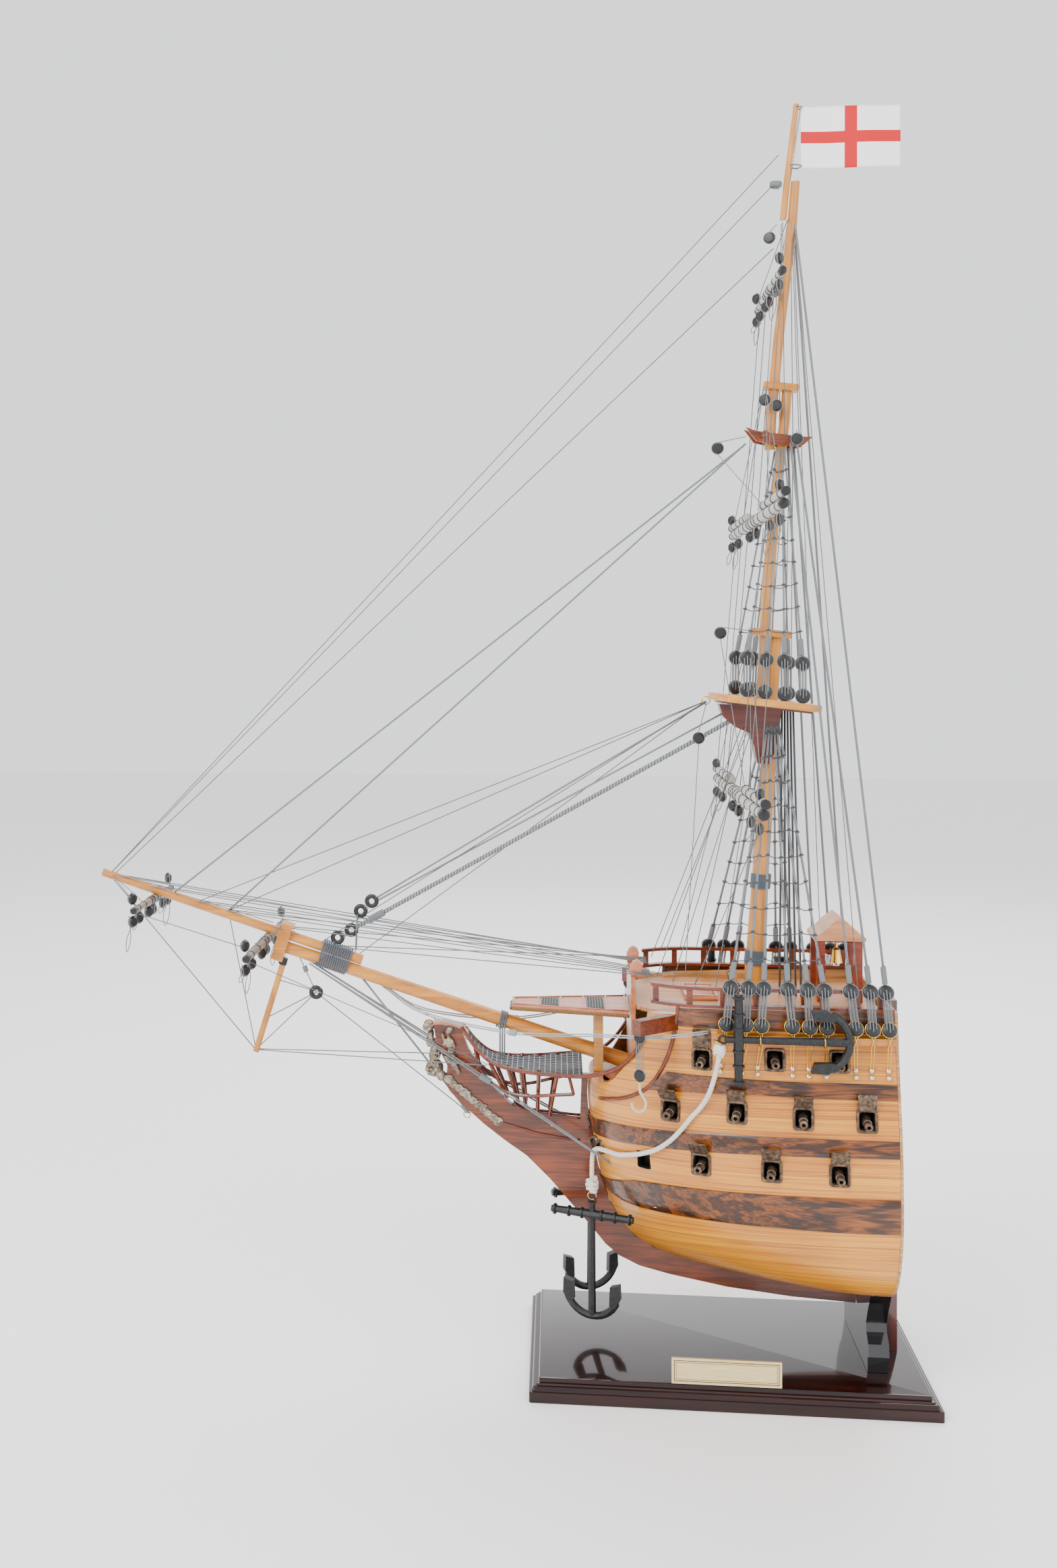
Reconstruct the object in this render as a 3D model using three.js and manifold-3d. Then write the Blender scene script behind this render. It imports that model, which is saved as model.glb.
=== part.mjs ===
// Bow section of a three-deck man-of-war on a display stand.
// Millimetres. +Z up, the bow points to -X, the port side faces -Y.
// The origin is the centre of the plinth's underside.

import * as THREE from "three";
import { mergeVertices } from "three/addons/utils/BufferGeometryUtils.js";
import { ParametricGeometry } from "three/addons/geometries/ParametricGeometry.js";
import Module from "manifold-3d";

// ---------------------------------------------------------------- driving dimensions

const GAP = 0.3; // clearance between pieces that touch
const PLINTH = { length: 318, width: 197, thick: 18, step: 8.5, stepHeight: 9 };
const CUT_X = 129.4; // the hull is sawn off here
const SHELL = 4; // plank thickness
const KEEL_HALF = 4.5;
const HULL_TOP = 329;
const DECK_Z = 318;
const BEAK_Z = 251.5; // top of the planking round the beakhead
const BULKHEAD_X = -80;
const MAST_TILT = THREE.MathUtils.degToRad(6.5); // tops and caps slope aft
const PORT = { width: 13, height: 14.5 };
const LID = { width: 15, height: 13.5, thick: 1.6, proud: 3 };
const LID_OPEN = { middle: [139, 146, 141, 170], lower: [140, 142, 150] }; // degrees from closed
const YARD_HALF = 190;
const CABLE_RADIUS = 2.1;

// Each planking line starts on the rabbet (x, z) and ends on the cut section (y, z).
// run is the length over which it swells to its full breadth, and fine is how hollow it is.
const LINES = [
  { x: 129.4, z: 68, endY: 6, endZ: 68, run: 60, fine: 0.8 },
  { x: 60, z: 79, endY: 48, endZ: 80, run: 70, fine: 0.85 },
  { x: -5, z: 86, endY: 84, endZ: 93, run: 134, fine: 0.9 },
  { x: -45, z: 93, endY: 103, endZ: 109, run: 174, fine: 0.87 },
  { x: -76, z: 108, endY: 115, endZ: 130, run: 200, fine: 0.82 },
  { x: -95, z: 133, endY: 121.5, endZ: 152, run: 206, fine: 0.73 },
  { x: -105, z: 160, endY: 123, endZ: 172, run: 206, fine: 0.64 },
  { x: -110, z: 182, endY: 122, endZ: 192, run: 200, fine: 0.57 },
  { x: -114, z: 206, endY: 120, endZ: 215, run: 203, fine: 0.53 },
  { x: -117, z: 230, endY: 116, endZ: 240, run: 213, fine: 0.5 },
  { x: -115, z: 252, endY: 110, endZ: 265, run: 190, fine: 0.48 },
  { x: -106, z: 284, endY: 103, endZ: 295, run: 142, fine: 0.46 },
  { x: -100, z: 318, endY: 97.5, endZ: 329, run: 80, fine: 0.5 },
];

// Gun ports that go through the planking, by deck: x and z of the centre.
const MIDDLE_PORTS = [[-50, 241], [2.5, 245.5], [54.5, 244.5], [104.5, 244.5]];
const LOWER_PORTS = [[-26, 200.5], [29, 202], [82, 202]];
const UPPER_PORTS = [[-25, 286.5], [33, 289.5], [84.5, 289.5]];
const BARE_PORT = [-71.5, 194.5]; // a plain hole with no frame or lid

// Masts by stations of x, z and radius up the centre plane, and the bow's spars by their ends.
const LOWER_MAST = [
  [26, 321.4, 7.9], [40.3, 526, 6.6], [43.4, 571, 6.5], [43.8, 573, 4.6], [47.5, 636.5, 4.6],
];
const TOPMAST = [
  [33.9, 575.4, 5], [36, 610, 5], [39, 672, 4.9], [49.7, 787.5, 4.7], [54.7, 829, 4.6],
  [56.4, 853, 4.4],
];
const TOPGALLANT = [
  [41.4, 801, 4.7], [42.5, 829, 4.7], [49.2, 900, 4.6], [60.5, 994.5, 4.3], [63.6, 1036, 3.9],
];
const POLE = [[52.9, 1003, 2.9], [56.2, 1036, 2.8], [64.4, 1104, 2.5]];
const BOWSPRIT = { foot: [-62, 254], head: [-387.6, 355.2], r: [6.9, 5.5] };
const JIBBOOM = { foot: [-319, 345.2], head: [-559, 421], r: [4.6, 3.6] };

// ---------------------------------------------------------------- solids

const wasm = await Module();
wasm.setup();

/** The solid of a closed geometry. */
function solid(geometry) {
  const bare = geometry.clone();
  bare.deleteAttribute("normal");
  bare.deleteAttribute("uv");
  const merged = mergeVertices(bare, 1e-4);
  const index = merged.index.array;
  const kept = [];
  for (let i = 0; i < index.length; i += 3) {
    const [a, b, c] = [index[i], index[i + 1], index[i + 2]];
    if (a !== b && b !== c && c !== a) kept.push(a, b, c);
  }
  const vertProperties = new Float32Array(merged.attributes.position.array);
  const triVerts = new Uint32Array(kept);
  return new wasm.Manifold(new wasm.Mesh({ numProp: 3, vertProperties, triVerts }));
}

/** The geometry of a solid. */
function geometryOf(body) {
  const mesh = body.getMesh();
  const geometry = new THREE.BufferGeometry();
  geometry.setAttribute("position", new THREE.BufferAttribute(mesh.vertProperties.slice(), 3));
  geometry.setIndex(new THREE.BufferAttribute(mesh.triVerts.slice(), 1));
  geometry.computeVertexNormals();
  return geometry;
}

const join = (bodies) => bodies.reduce((all, body) => all.add(body));
const cut = (body, tools) => tools.reduce((rest, tool) => rest.subtract(tool), body);

/** A box solid from its lowest and highest corners. */
function block(low, high) {
  const size = high.map((value, i) => value - low[i]);
  const geometry = new THREE.BoxGeometry(...size);
  geometry.translate(...low.map((value, i) => value + size[i] / 2));
  return solid(geometry);
}

/** A flat outline of [x, z] points in the centre plane, as thick as width in y. */
function slab(points, width, y = 0) {
  const shape = new THREE.Shape(points.map(([x, z]) => new THREE.Vector2(x, z)));
  const geometry = new THREE.ExtrudeGeometry(shape, { depth: width, bevelEnabled: false });
  geometry.rotateX(Math.PI / 2);
  geometry.translate(0, y + width / 2, 0);
  return solid(geometry);
}

/** A flat outline of [x, y] points, from z up by thick. */
function board(points, z, thick) {
  const shape = new THREE.Shape(points.map(([x, y]) => new THREE.Vector2(x, y)));
  const geometry = new THREE.ExtrudeGeometry(shape, { depth: thick, bevelEnabled: false });
  geometry.translate(0, 0, z);
  return solid(geometry);
}

/** A round bar that tapers from r0 at a to r1 at b. */
function bar(a, b, r0, r1 = r0, sides = 16) {
  const from = new THREE.Vector3(...a);
  const to = new THREE.Vector3(...b);
  const along = to.clone().sub(from);
  const geometry = new THREE.CylinderGeometry(r1, r0, along.length(), sides);
  geometry.applyQuaternion(
    new THREE.Quaternion().setFromUnitVectors(new THREE.Vector3(0, 1, 0), along.clone().normalize()),
  );
  const middle = from.add(to).multiplyScalar(0.5);
  geometry.translate(middle.x, middle.y, middle.z);
  return solid(geometry);
}

/** A tube of the given radius along a smooth curve through points. */
function tube(points, radius, sides = 8, steps = points.length * 3) {
  const path = new THREE.CatmullRomCurve3(points.map((p) => new THREE.Vector3(...p)));
  const section = Array.from({ length: sides }, (_, i) => {
    const angle = (i / sides) * Math.PI * 2;
    return new THREE.Vector2(Math.cos(angle) * radius, Math.sin(angle) * radius);
  });
  return solid(new THREE.ExtrudeGeometry(new THREE.Shape(section), { steps, extrudePath: path }));
}

/** The same solid on the other side of the centre plane. */
const mirrored = (body) => body.mirror([0, 1, 0]);

/** A straight spar in the centre plane, larger all round by grow. */
function spar({ foot, head, r }, grow = 0) {
  const from = new THREE.Vector2(...foot);
  const along = new THREE.Vector2(...head).sub(from).normalize().multiplyScalar(grow);
  const [low, high] = [from.sub(along), new THREE.Vector2(...head).add(along)];
  return bar([low.x, 0, low.y], [high.x, 0, high.y], r[0] + grow, r[1] + grow, 16);
}

/** A mast of several stations, each a level circle. */
function mast(stations, grow = 0, sides = 16) {
  const rows = [stations[0], ...stations, stations[stations.length - 1]];
  const last = rows.length - 1;
  const point = (u, v, target) => {
    const row = Math.round(v * last);
    const [x, level, r] = rows[row];
    const size = row === 0 || row === last ? 0 : r + grow;
    const z = level + grow * (row > last - 2 ? 1 : 0) - grow * (row < 2 ? 1 : 0);
    const angle = (Math.round(u * sides) % sides) * ((2 * Math.PI) / sides);
    target.set(x + Math.cos(angle) * size, Math.sin(angle) * size, z);
  };
  return solid(new ParametricGeometry(point, sides, last));
}

/** A solid turned about a y axis through [x, z]. */
function tilted(body, angle, [x, z]) {
  const turn = (angle * 180) / Math.PI;
  return body.translate([-x, 0, -z]).rotate([0, turn, 0]).translate([x, 0, z]);
}

// ---------------------------------------------------------------- hull surface

/** The value of one column of LINES at t, from 0 at the keel to 1 at the rail. */
function lineValue(key, t) {
  const at = THREE.MathUtils.clamp(t, 0, 1) * (LINES.length - 1);
  const i = Math.min(Math.floor(at), LINES.length - 2);
  const f = at - i;
  const value = (k) => LINES[THREE.MathUtils.clamp(k, 0, LINES.length - 1)][key];
  const [a, b, c, d] = [value(i - 1), value(i), value(i + 1), value(i + 2)];
  const bend = 3 * b - 3 * c + d - a;
  return b + 0.5 * f * (c - a + f * (2 * a - 5 * b + 4 * c - d + f * bend));
}

/** The point of planking line t at station x, on the port side with y as a breadth. */
function hullPoint(t, x) {
  const start = lineValue("x", t);
  const length = CUT_X - start;
  const s = THREE.MathUtils.clamp((x - start) / Math.max(length, 1e-3), 0, 1);
  const swell = THREE.MathUtils.clamp((x - start) / lineValue("run", t), 0, 1);
  const full = Math.pow(1 - (1 - swell) ** 2, lineValue("fine", t));
  const low = lineValue("z", t);
  return {
    y: KEEL_HALF + (lineValue("endY", t) - KEEL_HALF) * full,
    z: low + (lineValue("endZ", t) - low) * (1 - (1 - s) ** 2),
  };
}

/** The planking line that passes through height z at station x. */
function lineAt(x, z) {
  let [low, high] = [0, 1];
  for (let i = 0; i < 30; i += 1) {
    const middle = (low + high) / 2;
    if (lineValue("x", middle) > x || hullPoint(middle, x).z < z) low = middle;
    else high = middle;
  }
  return (low + high) / 2;
}

const breadth = (x, z) => hullPoint(lineAt(x, z), x).y;

/** The breadth at x, z of a thing that stands clear of the planking by a distance. */
function outside(x, z, clear) {
  const slopeX = (breadth(x + 1, z) - breadth(x - 1, z)) / 2;
  const slopeZ = (breadth(x, z + 1) - breadth(x, z - 1)) / 2;
  return breadth(x, z) + clear * Math.hypot(1, slopeX, slopeZ);
}

/** Closed hull form, made smaller all round by inset and longer at the cut by extra. */
function hullForm(inset, extra, topZ) {
  const rows = 26;
  const columns = 44;
  const half = columns / 2 - 1;
  const rowX = (v) => Math.min(1, Math.max(0, (v * rows - 1) / (rows - 2)));
  const point = (u, v, target) => {
    const row = Math.round(v * rows);
    const column = Math.round(u * columns) % columns;
    const side = column <= half ? -1 : 1;
    const t = (column <= half ? half - column : column - half - 1) / half;
    const ease = rowX(v) ** 1.7;
    const start = lineValue("x", t) + inset * 2.2;
    const x = start + ease * (CUT_X - start);
    const place = hullPoint(t, x - inset * 2.2 * (1 - ease));
    const y = Math.max(place.y - inset, 0.6);
    const lift = inset * (1 - t) * 1.3;
    const z = t === 1 ? topZ : place.z + lift;
    const last = row === rows;
    const reach = rowX(v) === 1 ? extra : 0;
    if (last) target.set(x + reach, 0, 200);
    else target.set(x + reach, row === 0 ? 0 : side * y, z);
  };
  return solid(new ParametricGeometry(point, columns, rows));
}

const OUTER = hullForm(0, 0, HULL_TOP);
const INNER = hullForm(SHELL, 12, HULL_TOP + 30);
const HOLD = hullForm(SHELL + GAP, 0, HULL_TOP + 25);
const CLEAR = hullForm(-GAP, 4, HULL_TOP); // what a piece outside the hull is cut back to

/** The frame of a hull fitting at x, z: how the planking runs in plan there. */
function planking(x, z) {
  const ahead = breadth(x + 3, z);
  const behind = breadth(x - 3, z);
  return { y: breadth(x, z), turn: Math.atan2(ahead - behind, 6) };
}

/** A box cut square to the planking at x, z. */
function portCutter([x, z], side) {
  const { y, turn } = planking(x, z);
  const geometry = new THREE.BoxGeometry(PORT.width, 34, PORT.height);
  geometry.rotateZ(-turn);
  geometry.translate(x, -y, z);
  const cutter = solid(geometry);
  return side < 0 ? cutter : mirrored(cutter);
}

/** The space over the beakhead, which sweeps up from the stem to the rails. */
function beakheadSpace() {
  const sweep = new THREE.CatmullRomCurve3([
    new THREE.Vector3(-150, BEAK_Z, 0),
    new THREE.Vector3(-112, BEAK_Z, 0),
    new THREE.Vector3(-101, BEAK_Z + 1, 0),
    new THREE.Vector3(-94, 260, 0),
    new THREE.Vector3(-82, 278, 0),
    new THREE.Vector3(-71, 303, 0),
    new THREE.Vector3(-68, 340, 0),
  ]);
  const points = sweep.getPoints(24).map((p) => [p.x, Math.max(p.y, BEAK_Z)]);
  return slab([...points, [-150, 340]], 300);
}

/** Hull planking, with every gun port cut through. */
function hullShell() {
  const ports = [...MIDDLE_PORTS, ...LOWER_PORTS, ...UPPER_PORTS, BARE_PORT];
  const cutters = ports.flatMap((port) => [portCutter(port, -1), portCutter(port, 1)]);
  return cut(OUTER.subtract(INNER), [beakheadSpace(), ...cutters, spar(BOWSPRIT, 0.5)]);
}

/** Keel, stem and knee of the head, sawn in one sweep and rabbeted to the planking. */
function keelAndStem() {
  const bottom = [
    [114.6, 56], [60, 59.2], [4, 65.4], [-46, 74.6], [-72, 81], [-90, 89.5], [-102, 99.5],
    [-113, 113], [-133, 135.3], [-150.5, 155], [-171, 174.8], [-190, 187.5], [-209, 201.7],
    [-226, 216.5], [-240, 230.5], [-243, 236],
  ];
  const head = [[-242, 253], [-246.6, 262], [-251.6, 272.5], [-254, 286.6], [-254, 289.6]];
  const back = [
    [-229.5, 286.5], [-223, 268], [-212, 249], [-198.5, 232.5], [-185, 220], [-170, 212.7],
    [-142, 209.7], [-124, 208.6], [-122.6, 248], [-112, 248],
  ];
  const rabbet = Array.from({ length: 31 }, (_, i) => {
    const t = 0.8 * (1 - i / 30);
    return [lineValue("x", t) + 1, lineValue("z", t) + 1];
  }).filter(([x]) => x < 114);
  const outline = [...bottom, ...head, ...back, ...rabbet, [114.6, 74]];
  return cut(slab(outline, KEEL_HALF * 2), [CLEAR, spar(BOWSPRIT, 0.5)]);
}

// ---------------------------------------------------------------- hull pieces

/** Forecastle deck, fitted inside the planking. */
function forecastleDeck() {
  const level = block([BULKHEAD_X + 3, -120, DECK_Z], [CUT_X - 2, 120, DECK_Z + 3]);
  return HOLD.intersect(level);
}

/** Platform over the bow and the cross wall behind it, in one piece. */
function beakhead() {
  const low = BEAK_Z + GAP;
  const bow = hullForm(-0.8, 0, HULL_TOP).intersect(block([-125, -120, low], [-104.5, 120, low + 2.8]));
  const platform = HOLD.intersect(block([-125, -120, low], [BULKHEAD_X, 120, low + 2.8]));
  const wall = HOLD.intersect(block([BULKHEAD_X - 1, -120, low], [BULKHEAD_X + 2.6, 120, 343]));
  return join([bow, platform, wall]).subtract(spar(BOWSPRIT, 0.5));
}

/** Flat board that closes the hull at the saw cut. */
function aftBulkhead() {
  const section = [];
  for (let i = 0; i <= 20; i += 1) {
    const t = 0.09 + (0.91 * i) / 20;
    section.push([hullPoint(t, CUT_X).y - 0.5, hullPoint(t, CUT_X).z]);
  }
  const left = section.map(([y, z]) => new THREE.Vector2(-y, z));
  const right = section.map(([y, z]) => new THREE.Vector2(y, z)).reverse();
  const geometry = new THREE.ExtrudeGeometry(new THREE.Shape([...left, ...right]), {
    depth: 2.4,
    bevelEnabled: false,
  });
  geometry.rotateX(Math.PI / 2);
  geometry.rotateZ(Math.PI / 2);
  geometry.translate(CUT_X + GAP, 0, 0);
  return solid(geometry);
}

/** A strip that follows the planking in plan, from inner to outer past its surface. */
function sideStrip(fromX, toX, z, thick, inner, outer, count = 14) {
  const xs = Array.from({ length: count + 1 }, (_, i) => fromX + ((toX - fromX) * i) / count);
  const level = Math.min(z, HULL_TOP - 1);
  const outside = xs.map((x) => [x, -(breadth(x, level) + outer)]);
  const inside = xs.map((x) => [x, -(breadth(x, level) + inner)]).reverse();
  return board([...outside, ...inside], z, thick);
}

/** Open rail: a broad lower rail, stanchions and a top rail. */
function sideRail() {
  const bars = [
    sideStrip(-66, CUT_X, HULL_TOP + GAP, 2.6, -6.5, 1.6),
    sideStrip(-66, CUT_X - 6, 343.6, 2.8, -5.5, 0.6),
  ];
  const stanchions = [-62, -35, -8, 19, 46, 73, 100, 119].map((x) => {
    const y = breadth(x, HULL_TOP - 1) - 2.5;
    return block([x - 2.4, -y - 2, HULL_TOP + 2], [x + 2.4, -y + 2, 344.5]);
  });
  return join([...bars, ...stanchions]);
}

/** Channel board that spreads the shrouds. */
const channel = () => sideStrip(-13.5, CUT_X - 0.6, 305, 5.6, GAP + 0.8, 11.5);

/** Beam that carries the anchor tackle clear of the bow. */
function cathead() {
  const geometry = new THREE.BoxGeometry(58, 9, 12.5);
  geometry.rotateZ(Math.PI / 4.2);
  geometry.translate(-58.5, -97.5, 315.5);
  const pieces = solid(geometry).subtract(CLEAR).decompose();
  return pieces.sort((a, b) => b.volume() - a.volume())[0];
}

/** Tapered gangway over the bowsprit on its two posts. */
function marinesWalk() {
  const deck = board([[-184, -14.6], [-82, -35], [-82, 35], [-184, 14.6]], 306, 5.4);
  const posts = [-1, 1].map((side) => {
    const [near, far] = [side * 12, side * 18.5].sort((a, b) => a - b);
    return block([-112, near, BEAK_Z + 3.1 + GAP], [-104, far, 307]);
  });
  return join([deck, ...posts]);
}

/** Rails and timbers of the head, on the port side. */
function headRail() {
  const upper = [
    [-229, -8, 288.5], [-217, -13, 272.8], [-203.7, -19, 261.6], [-186, -26, 256.9],
    [-163, -34, 255.6], [-142, -41, 256],
  ];
  const sweep = [-122, -106, -94, -82, -74, -68.5].map((x, i) => {
    const z = [257, 260, 266.5, 279.5, 293, 306][i];
    const y = Math.max(breadth(Math.max(x, -106), z) + 2.4, 46);
    return [x, -y, z];
  });
  const middle = [
    [-214, -9, 252.5], [-200, -13, 239.5], [-186, -17, 233.5], [-170, -22, 232.5],
    [-150, -29, 235.5], [-130, -35, 238.5],
  ];
  const timbers = [-203, -188, -176, -160, -144].map((x, i) => {
    const top = [x, -(19 + 4.6 * i), 259.6 - 0.8 * i];
    const foot = [x + 15 - 5.5 * i, -(KEEL_HALF + 2.4 + 0.6 * i), 227 - 3.5 * i];
    return bar(top, foot, 1.9, 1.9, 8);
  });
  const rails = [tube([...upper, ...sweep], 1.7, 8, 44), tube(middle, 1.5, 8, 20)];
  const brace = bar([-214, -9, 252.5], [-217, -12, 271.5], 1.4, 1.4, 8);
  const after = bar([-130, -35, 238.5], [-134, -42.5, 256], 1.4, 1.4, 8);
  const whole = join([...rails, ...timbers, brace, after]);
  return whole.subtract(CLEAR);
}

/** Grating between the head rails. */
function headGrating() {
  const geometry = new ParametricGeometry(
    (u, v, target) => {
      const s = Math.round(v * 10) / 10;
      const x = -212 + 88 * s;
      const wide = 8 + 32 * s;
      const z = 266 - 11.4 * Math.sin((Math.PI / 2) * Math.min(1, s * 1.9));
      const corner = [[-wide, 0], [wide, 0], [wide, 1.6], [-wide, 1.6]][Math.round(u * 4) % 4];
      const shut = v === 0 || v === 1;
      target.set(x, shut ? 0 : corner[0], shut ? z + 0.8 : z + corner[1]);
    },
    4,
    10,
  );
  return solid(geometry);
}

// ---------------------------------------------------------------- spars

/** A yard across the ship with two short studding booms on its upper side. */
function yard(x, z, half, radius, booms) {
  const sides = [-1, 1].map((side) => bar([x, 0, z], [x, side * half, z], radius, radius * 0.72, 12));
  const rods = booms
    ? [-1, 1].map((side) => {
        const height = z + radius * 1.55;
        const ends = [side * half * 0.3, side * half * 1.06];
        return bar([x, ends[0], height], [x, ends[1], height], radius * 0.72, radius * 0.6, 10);
      })
    : [];
  return join([...sides, ...rods]);
}

/** Cap that holds two spars side by side, with its corners bevelled. */
function mastCap(centre, length, width, thick, spars) {
  const [x, z] = centre;
  const l = length / 2;
  const w = width / 2;
  const outline = [
    [x - l, -w + 2], [x - l + 2, -w], [x + l - 2, -w], [x + l, -w + 2],
    [x + l, w - 2], [x + l - 2, w], [x - l + 2, w], [x - l, w - 2],
  ];
  const plate = tilted(board(outline, z - thick / 2, thick), MAST_TILT, centre);
  return cut(plate, spars.map((one) => mast(one, GAP)));
}

/** Block at the bowsprit's end that carries the jibboom. */
function bowspritCap() {
  const centre = [-391.5, 361];
  const plate = block([centre[0] - 5.5, -9, centre[1] - 17], [centre[0] + 5.5, 9, centre[1] + 17]);
  const turned = tilted(plate, THREE.MathUtils.degToRad(17.3), centre);
  return cut(turned, [spar(BOWSPRIT, GAP), spar(JIBBOOM, GAP)]);
}

/** Foretop: a round-fronted platform on hollow cheeks. */
function foretop() {
  const centre = [33, 580];
  const deck = new THREE.Shape();
  deck.moveTo(46, -50);
  deck.lineTo(46, 50);
  deck.lineTo(-12, 50);
  deck.bezierCurveTo(-34, 48, -45, 24, -45, 0);
  deck.bezierCurveTo(-45, -24, -34, -48, -12, -50);
  const outline = deck.getPoints(10).map((p) => [p.x + centre[0], p.y]);
  const platform = board(outline, centre[1] - 3, 6);
  const inset = outline.map(([x, y]) => [centre[0] + (x - centre[0]) * 0.86, y * 0.84]);
  const bed = board(inset, centre[1] - 5, 3);
  const side = [
    [-3, 575.6], [1, 565], [12, 556.5], [24, 552], [29, 541], [33, 526], [44, 526],
    [49, 545], [51, 575.6],
  ];
  const whole = join([
    tilted(join([platform, bed]), MAST_TILT, centre),
    tilted(slab(side, 21), MAST_TILT * 0.5, centre),
  ]);
  return cut(whole, [mast(LOWER_MAST, GAP), mast(TOPMAST, GAP)]);
}

/** Crosstrees: two boat-shaped trees across two short ones. */
function crosstrees() {
  const centre = [48, 811];
  const tree = [[-29, 6], [-19, -5], [-8, -6.5], [17, -6.5], [22, -4.5], [29, 3], [20, 2.5], [-20, 3.5]];
  const sides = [-1, 1].map((side) =>
    slab(tree.map(([x, z]) => [x + centre[0], z + centre[1]]), 3, side * 8.5),
  );
  const arms = [-14, 12].map((x) =>
    block([centre[0] + x - 2, -33, centre[1] - 2], [centre[0] + x + 2, 33, centre[1] + 1.6]),
  );
  const whole = tilted(join([...sides, ...arms]), MAST_TILT, centre);
  return cut(whole, [mast(TOPMAST, GAP), mast(TOPGALLANT, GAP)]);
}

// ---------------------------------------------------------------- ground tackle

/** A cast anchor in the xz plane that hangs from its eye at the origin. */
function anchorBody() {
  const shank = bar([0, 0, -2], [0, 0, -100], 2.7, 3.6, 8);
  const stock = join([-1, 1].map((side) => bar([0, 0, -13], [side * 37, 0, -13], 4.2, 3.1, 8)));
  const arm = [-1.15, -0.8, -0.4, 0, 0.4, 0.8, 1.15].map((angle) => [
    Math.sin(angle) * 24, 0, -77 - Math.cos(angle) * 24,
  ]);
  const fluke = slab([[17, -73], [25, -70.5], [25.5, -83], [21.5, -91], [16.5, -89]], 7);
  const eye = new THREE.TorusGeometry(3.2, 1.1, 8, 14);
  eye.rotateX(Math.PI / 2);
  eye.translate(0, 0, -0.6);
  const flukes = [fluke, fluke.mirror([1, 0, 0])];
  return join([shank, stock, tube(arm, 3.3, 8, 14), ...flukes, solid(eye)]);
}

/** A hinged lid: plate, straps and knuckle, with the hinge along the origin's x axis. */
function lidBody() {
  const { width, height, thick } = LID;
  const plate = block([-width / 2, -thick + 0.5, -height], [width / 2, 0.5, -0.4]);
  const knuckle = bar([-width / 2 + 1, 0, 0], [width / 2 - 1, 0, 0], 1.1, 1.1, 8);
  const straps = [-4.4, 4.4].map((x) =>
    block([x - 0.7, -thick - 0.2, -11.5], [x + 0.7, 0, -0.6]),
  );
  return join([plate, knuckle, ...straps]);
}

/** Adds one port's lid, hinged over the port and standing open. */
function addLid(name, [x, z], side, open) {
  const { y, turn } = planking(x, z + PORT.height / 2 + 1.6);
  const body = side < 0 ? lidBody() : mirrored(lidBody());
  const lid = add(name, body, "bronze");
  const away = [Math.sin(turn), Math.cos(turn)].map((value) => value * LID.proud);
  lid.rotation.set(THREE.MathUtils.degToRad(side * open), 0, side * turn, "ZYX");
  lid.position.set(x - away[0], side * (y + away[1]), z + PORT.height / 2 + 1.6);
}

/** Anchor cable: from the sheet anchor's ring, down the bow to the hawse, then to the anchor. */
function cable() {
  const alongHull = [
    [-26, 248], [-34, 238], [-42, 227], [-51, 216.5], [-62, 207], [-74, 200.5], [-85, 196],
    [-93, 193.5],
  ];
  const resting = alongHull.map(([x, z]) => [x, -outside(x, z, CABLE_RADIUS + 1.2), z]);
  const route = [
    [-13, -120.5, 303], [-14, -118, 290], [-16.5, -111.5, 275], [-20.5, -105.5, 260],
    ...resting,
    [-101.5, -43, 192.6], [-109, -32, 191], [-112.8, -26, 186.5], [-113.8, -26, 179], [-114, -27.7, 170],
    [-114, -30.3, 160], [-114, -32.8, 152.2],
  ];
  return tube(route, CABLE_RADIUS, 8, 60);
}

/** Belfry: a curved roof on four posts, with the beam that the bell hangs from. */
function belfry() {
  const roof = [
    [76.9, 377], [84, 381.5], [90, 388], [98.5, 394.5], [107, 388], [113, 381.5], [120.1, 377],
    [120.1, 374], [76.9, 374],
  ];
  const beam = block([80, -2.5, 369.5], [117, 2.5, 375]);
  const posts = [82.5, 114].flatMap((x) =>
    [-18, 18].map((y) => block([x - 3.4, y - 3.4, DECK_Z + 3 + GAP], [x + 3.4, y + 3.4, 375])),
  );
  return join([slab(roof, 46), beam, ...posts]);
}

/** Bell, open below, with the lug that it swings on at the origin. */
function bellBody() {
  const profile = [
    [0, -4.6], [2.4, -6], [3, -9.5], [3.6, -13], [4.8, -16.4], [5.4, -16.4], [4.6, -12.6],
    [3.9, -9], [3.4, -5], [2, -3.6], [1.1, -3.2], [1.1, 1], [0, 1],
  ];
  return solid(new THREE.LatheGeometry(profile.map(([r, y]) => new THREE.Vector2(r, y)), 20));
}

/** Carved scrolls and shield that stand in front of the knee. */
function figurehead() {
  const outline = [
    [-264, 291.5], [-257, 292.5], [-254.5, 286], [-252.2, 272.4], [-247.2, 261.8], [-242.7, 253],
    [-243.6, 240], [-252, 237.5], [-262, 243], [-265.5, 251], [-259, 261], [-261, 275],
    [-266, 283],
  ];
  return slab(outline, 13);
}

// ---------------------------------------------------------------- assembly

const COLOURS = {
  lacquer: [0x1d0f0d, 0.08, 0], brass: [0xcbb068, 0.3, 0.9], ebony: [0x0b0b0c, 0.12, 0],
  mahogany: [0x8a4524, 0.3, 0], pine: [0xe0a368, 0.35, 0], rosewood: [0x6a3a20, 0.35, 0],
  boxwood: [0xe3b263, 0.35, 0], pear: [0xc98f6d, 0.4, 0], iron: [0x2c2d30, 0.6, 0.5],
  tube: [0xb9b5ac, 0.5, 0.1], bronze: [0x7d6a56, 0.45, 0.7], rope: [0xd8d4cc, 0.9, 0],
  net: [0x3c3f42, 0.8, 0], cloth: [0xf2f0ee, 0.8, 0],
};

const ship = new THREE.Group();

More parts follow.
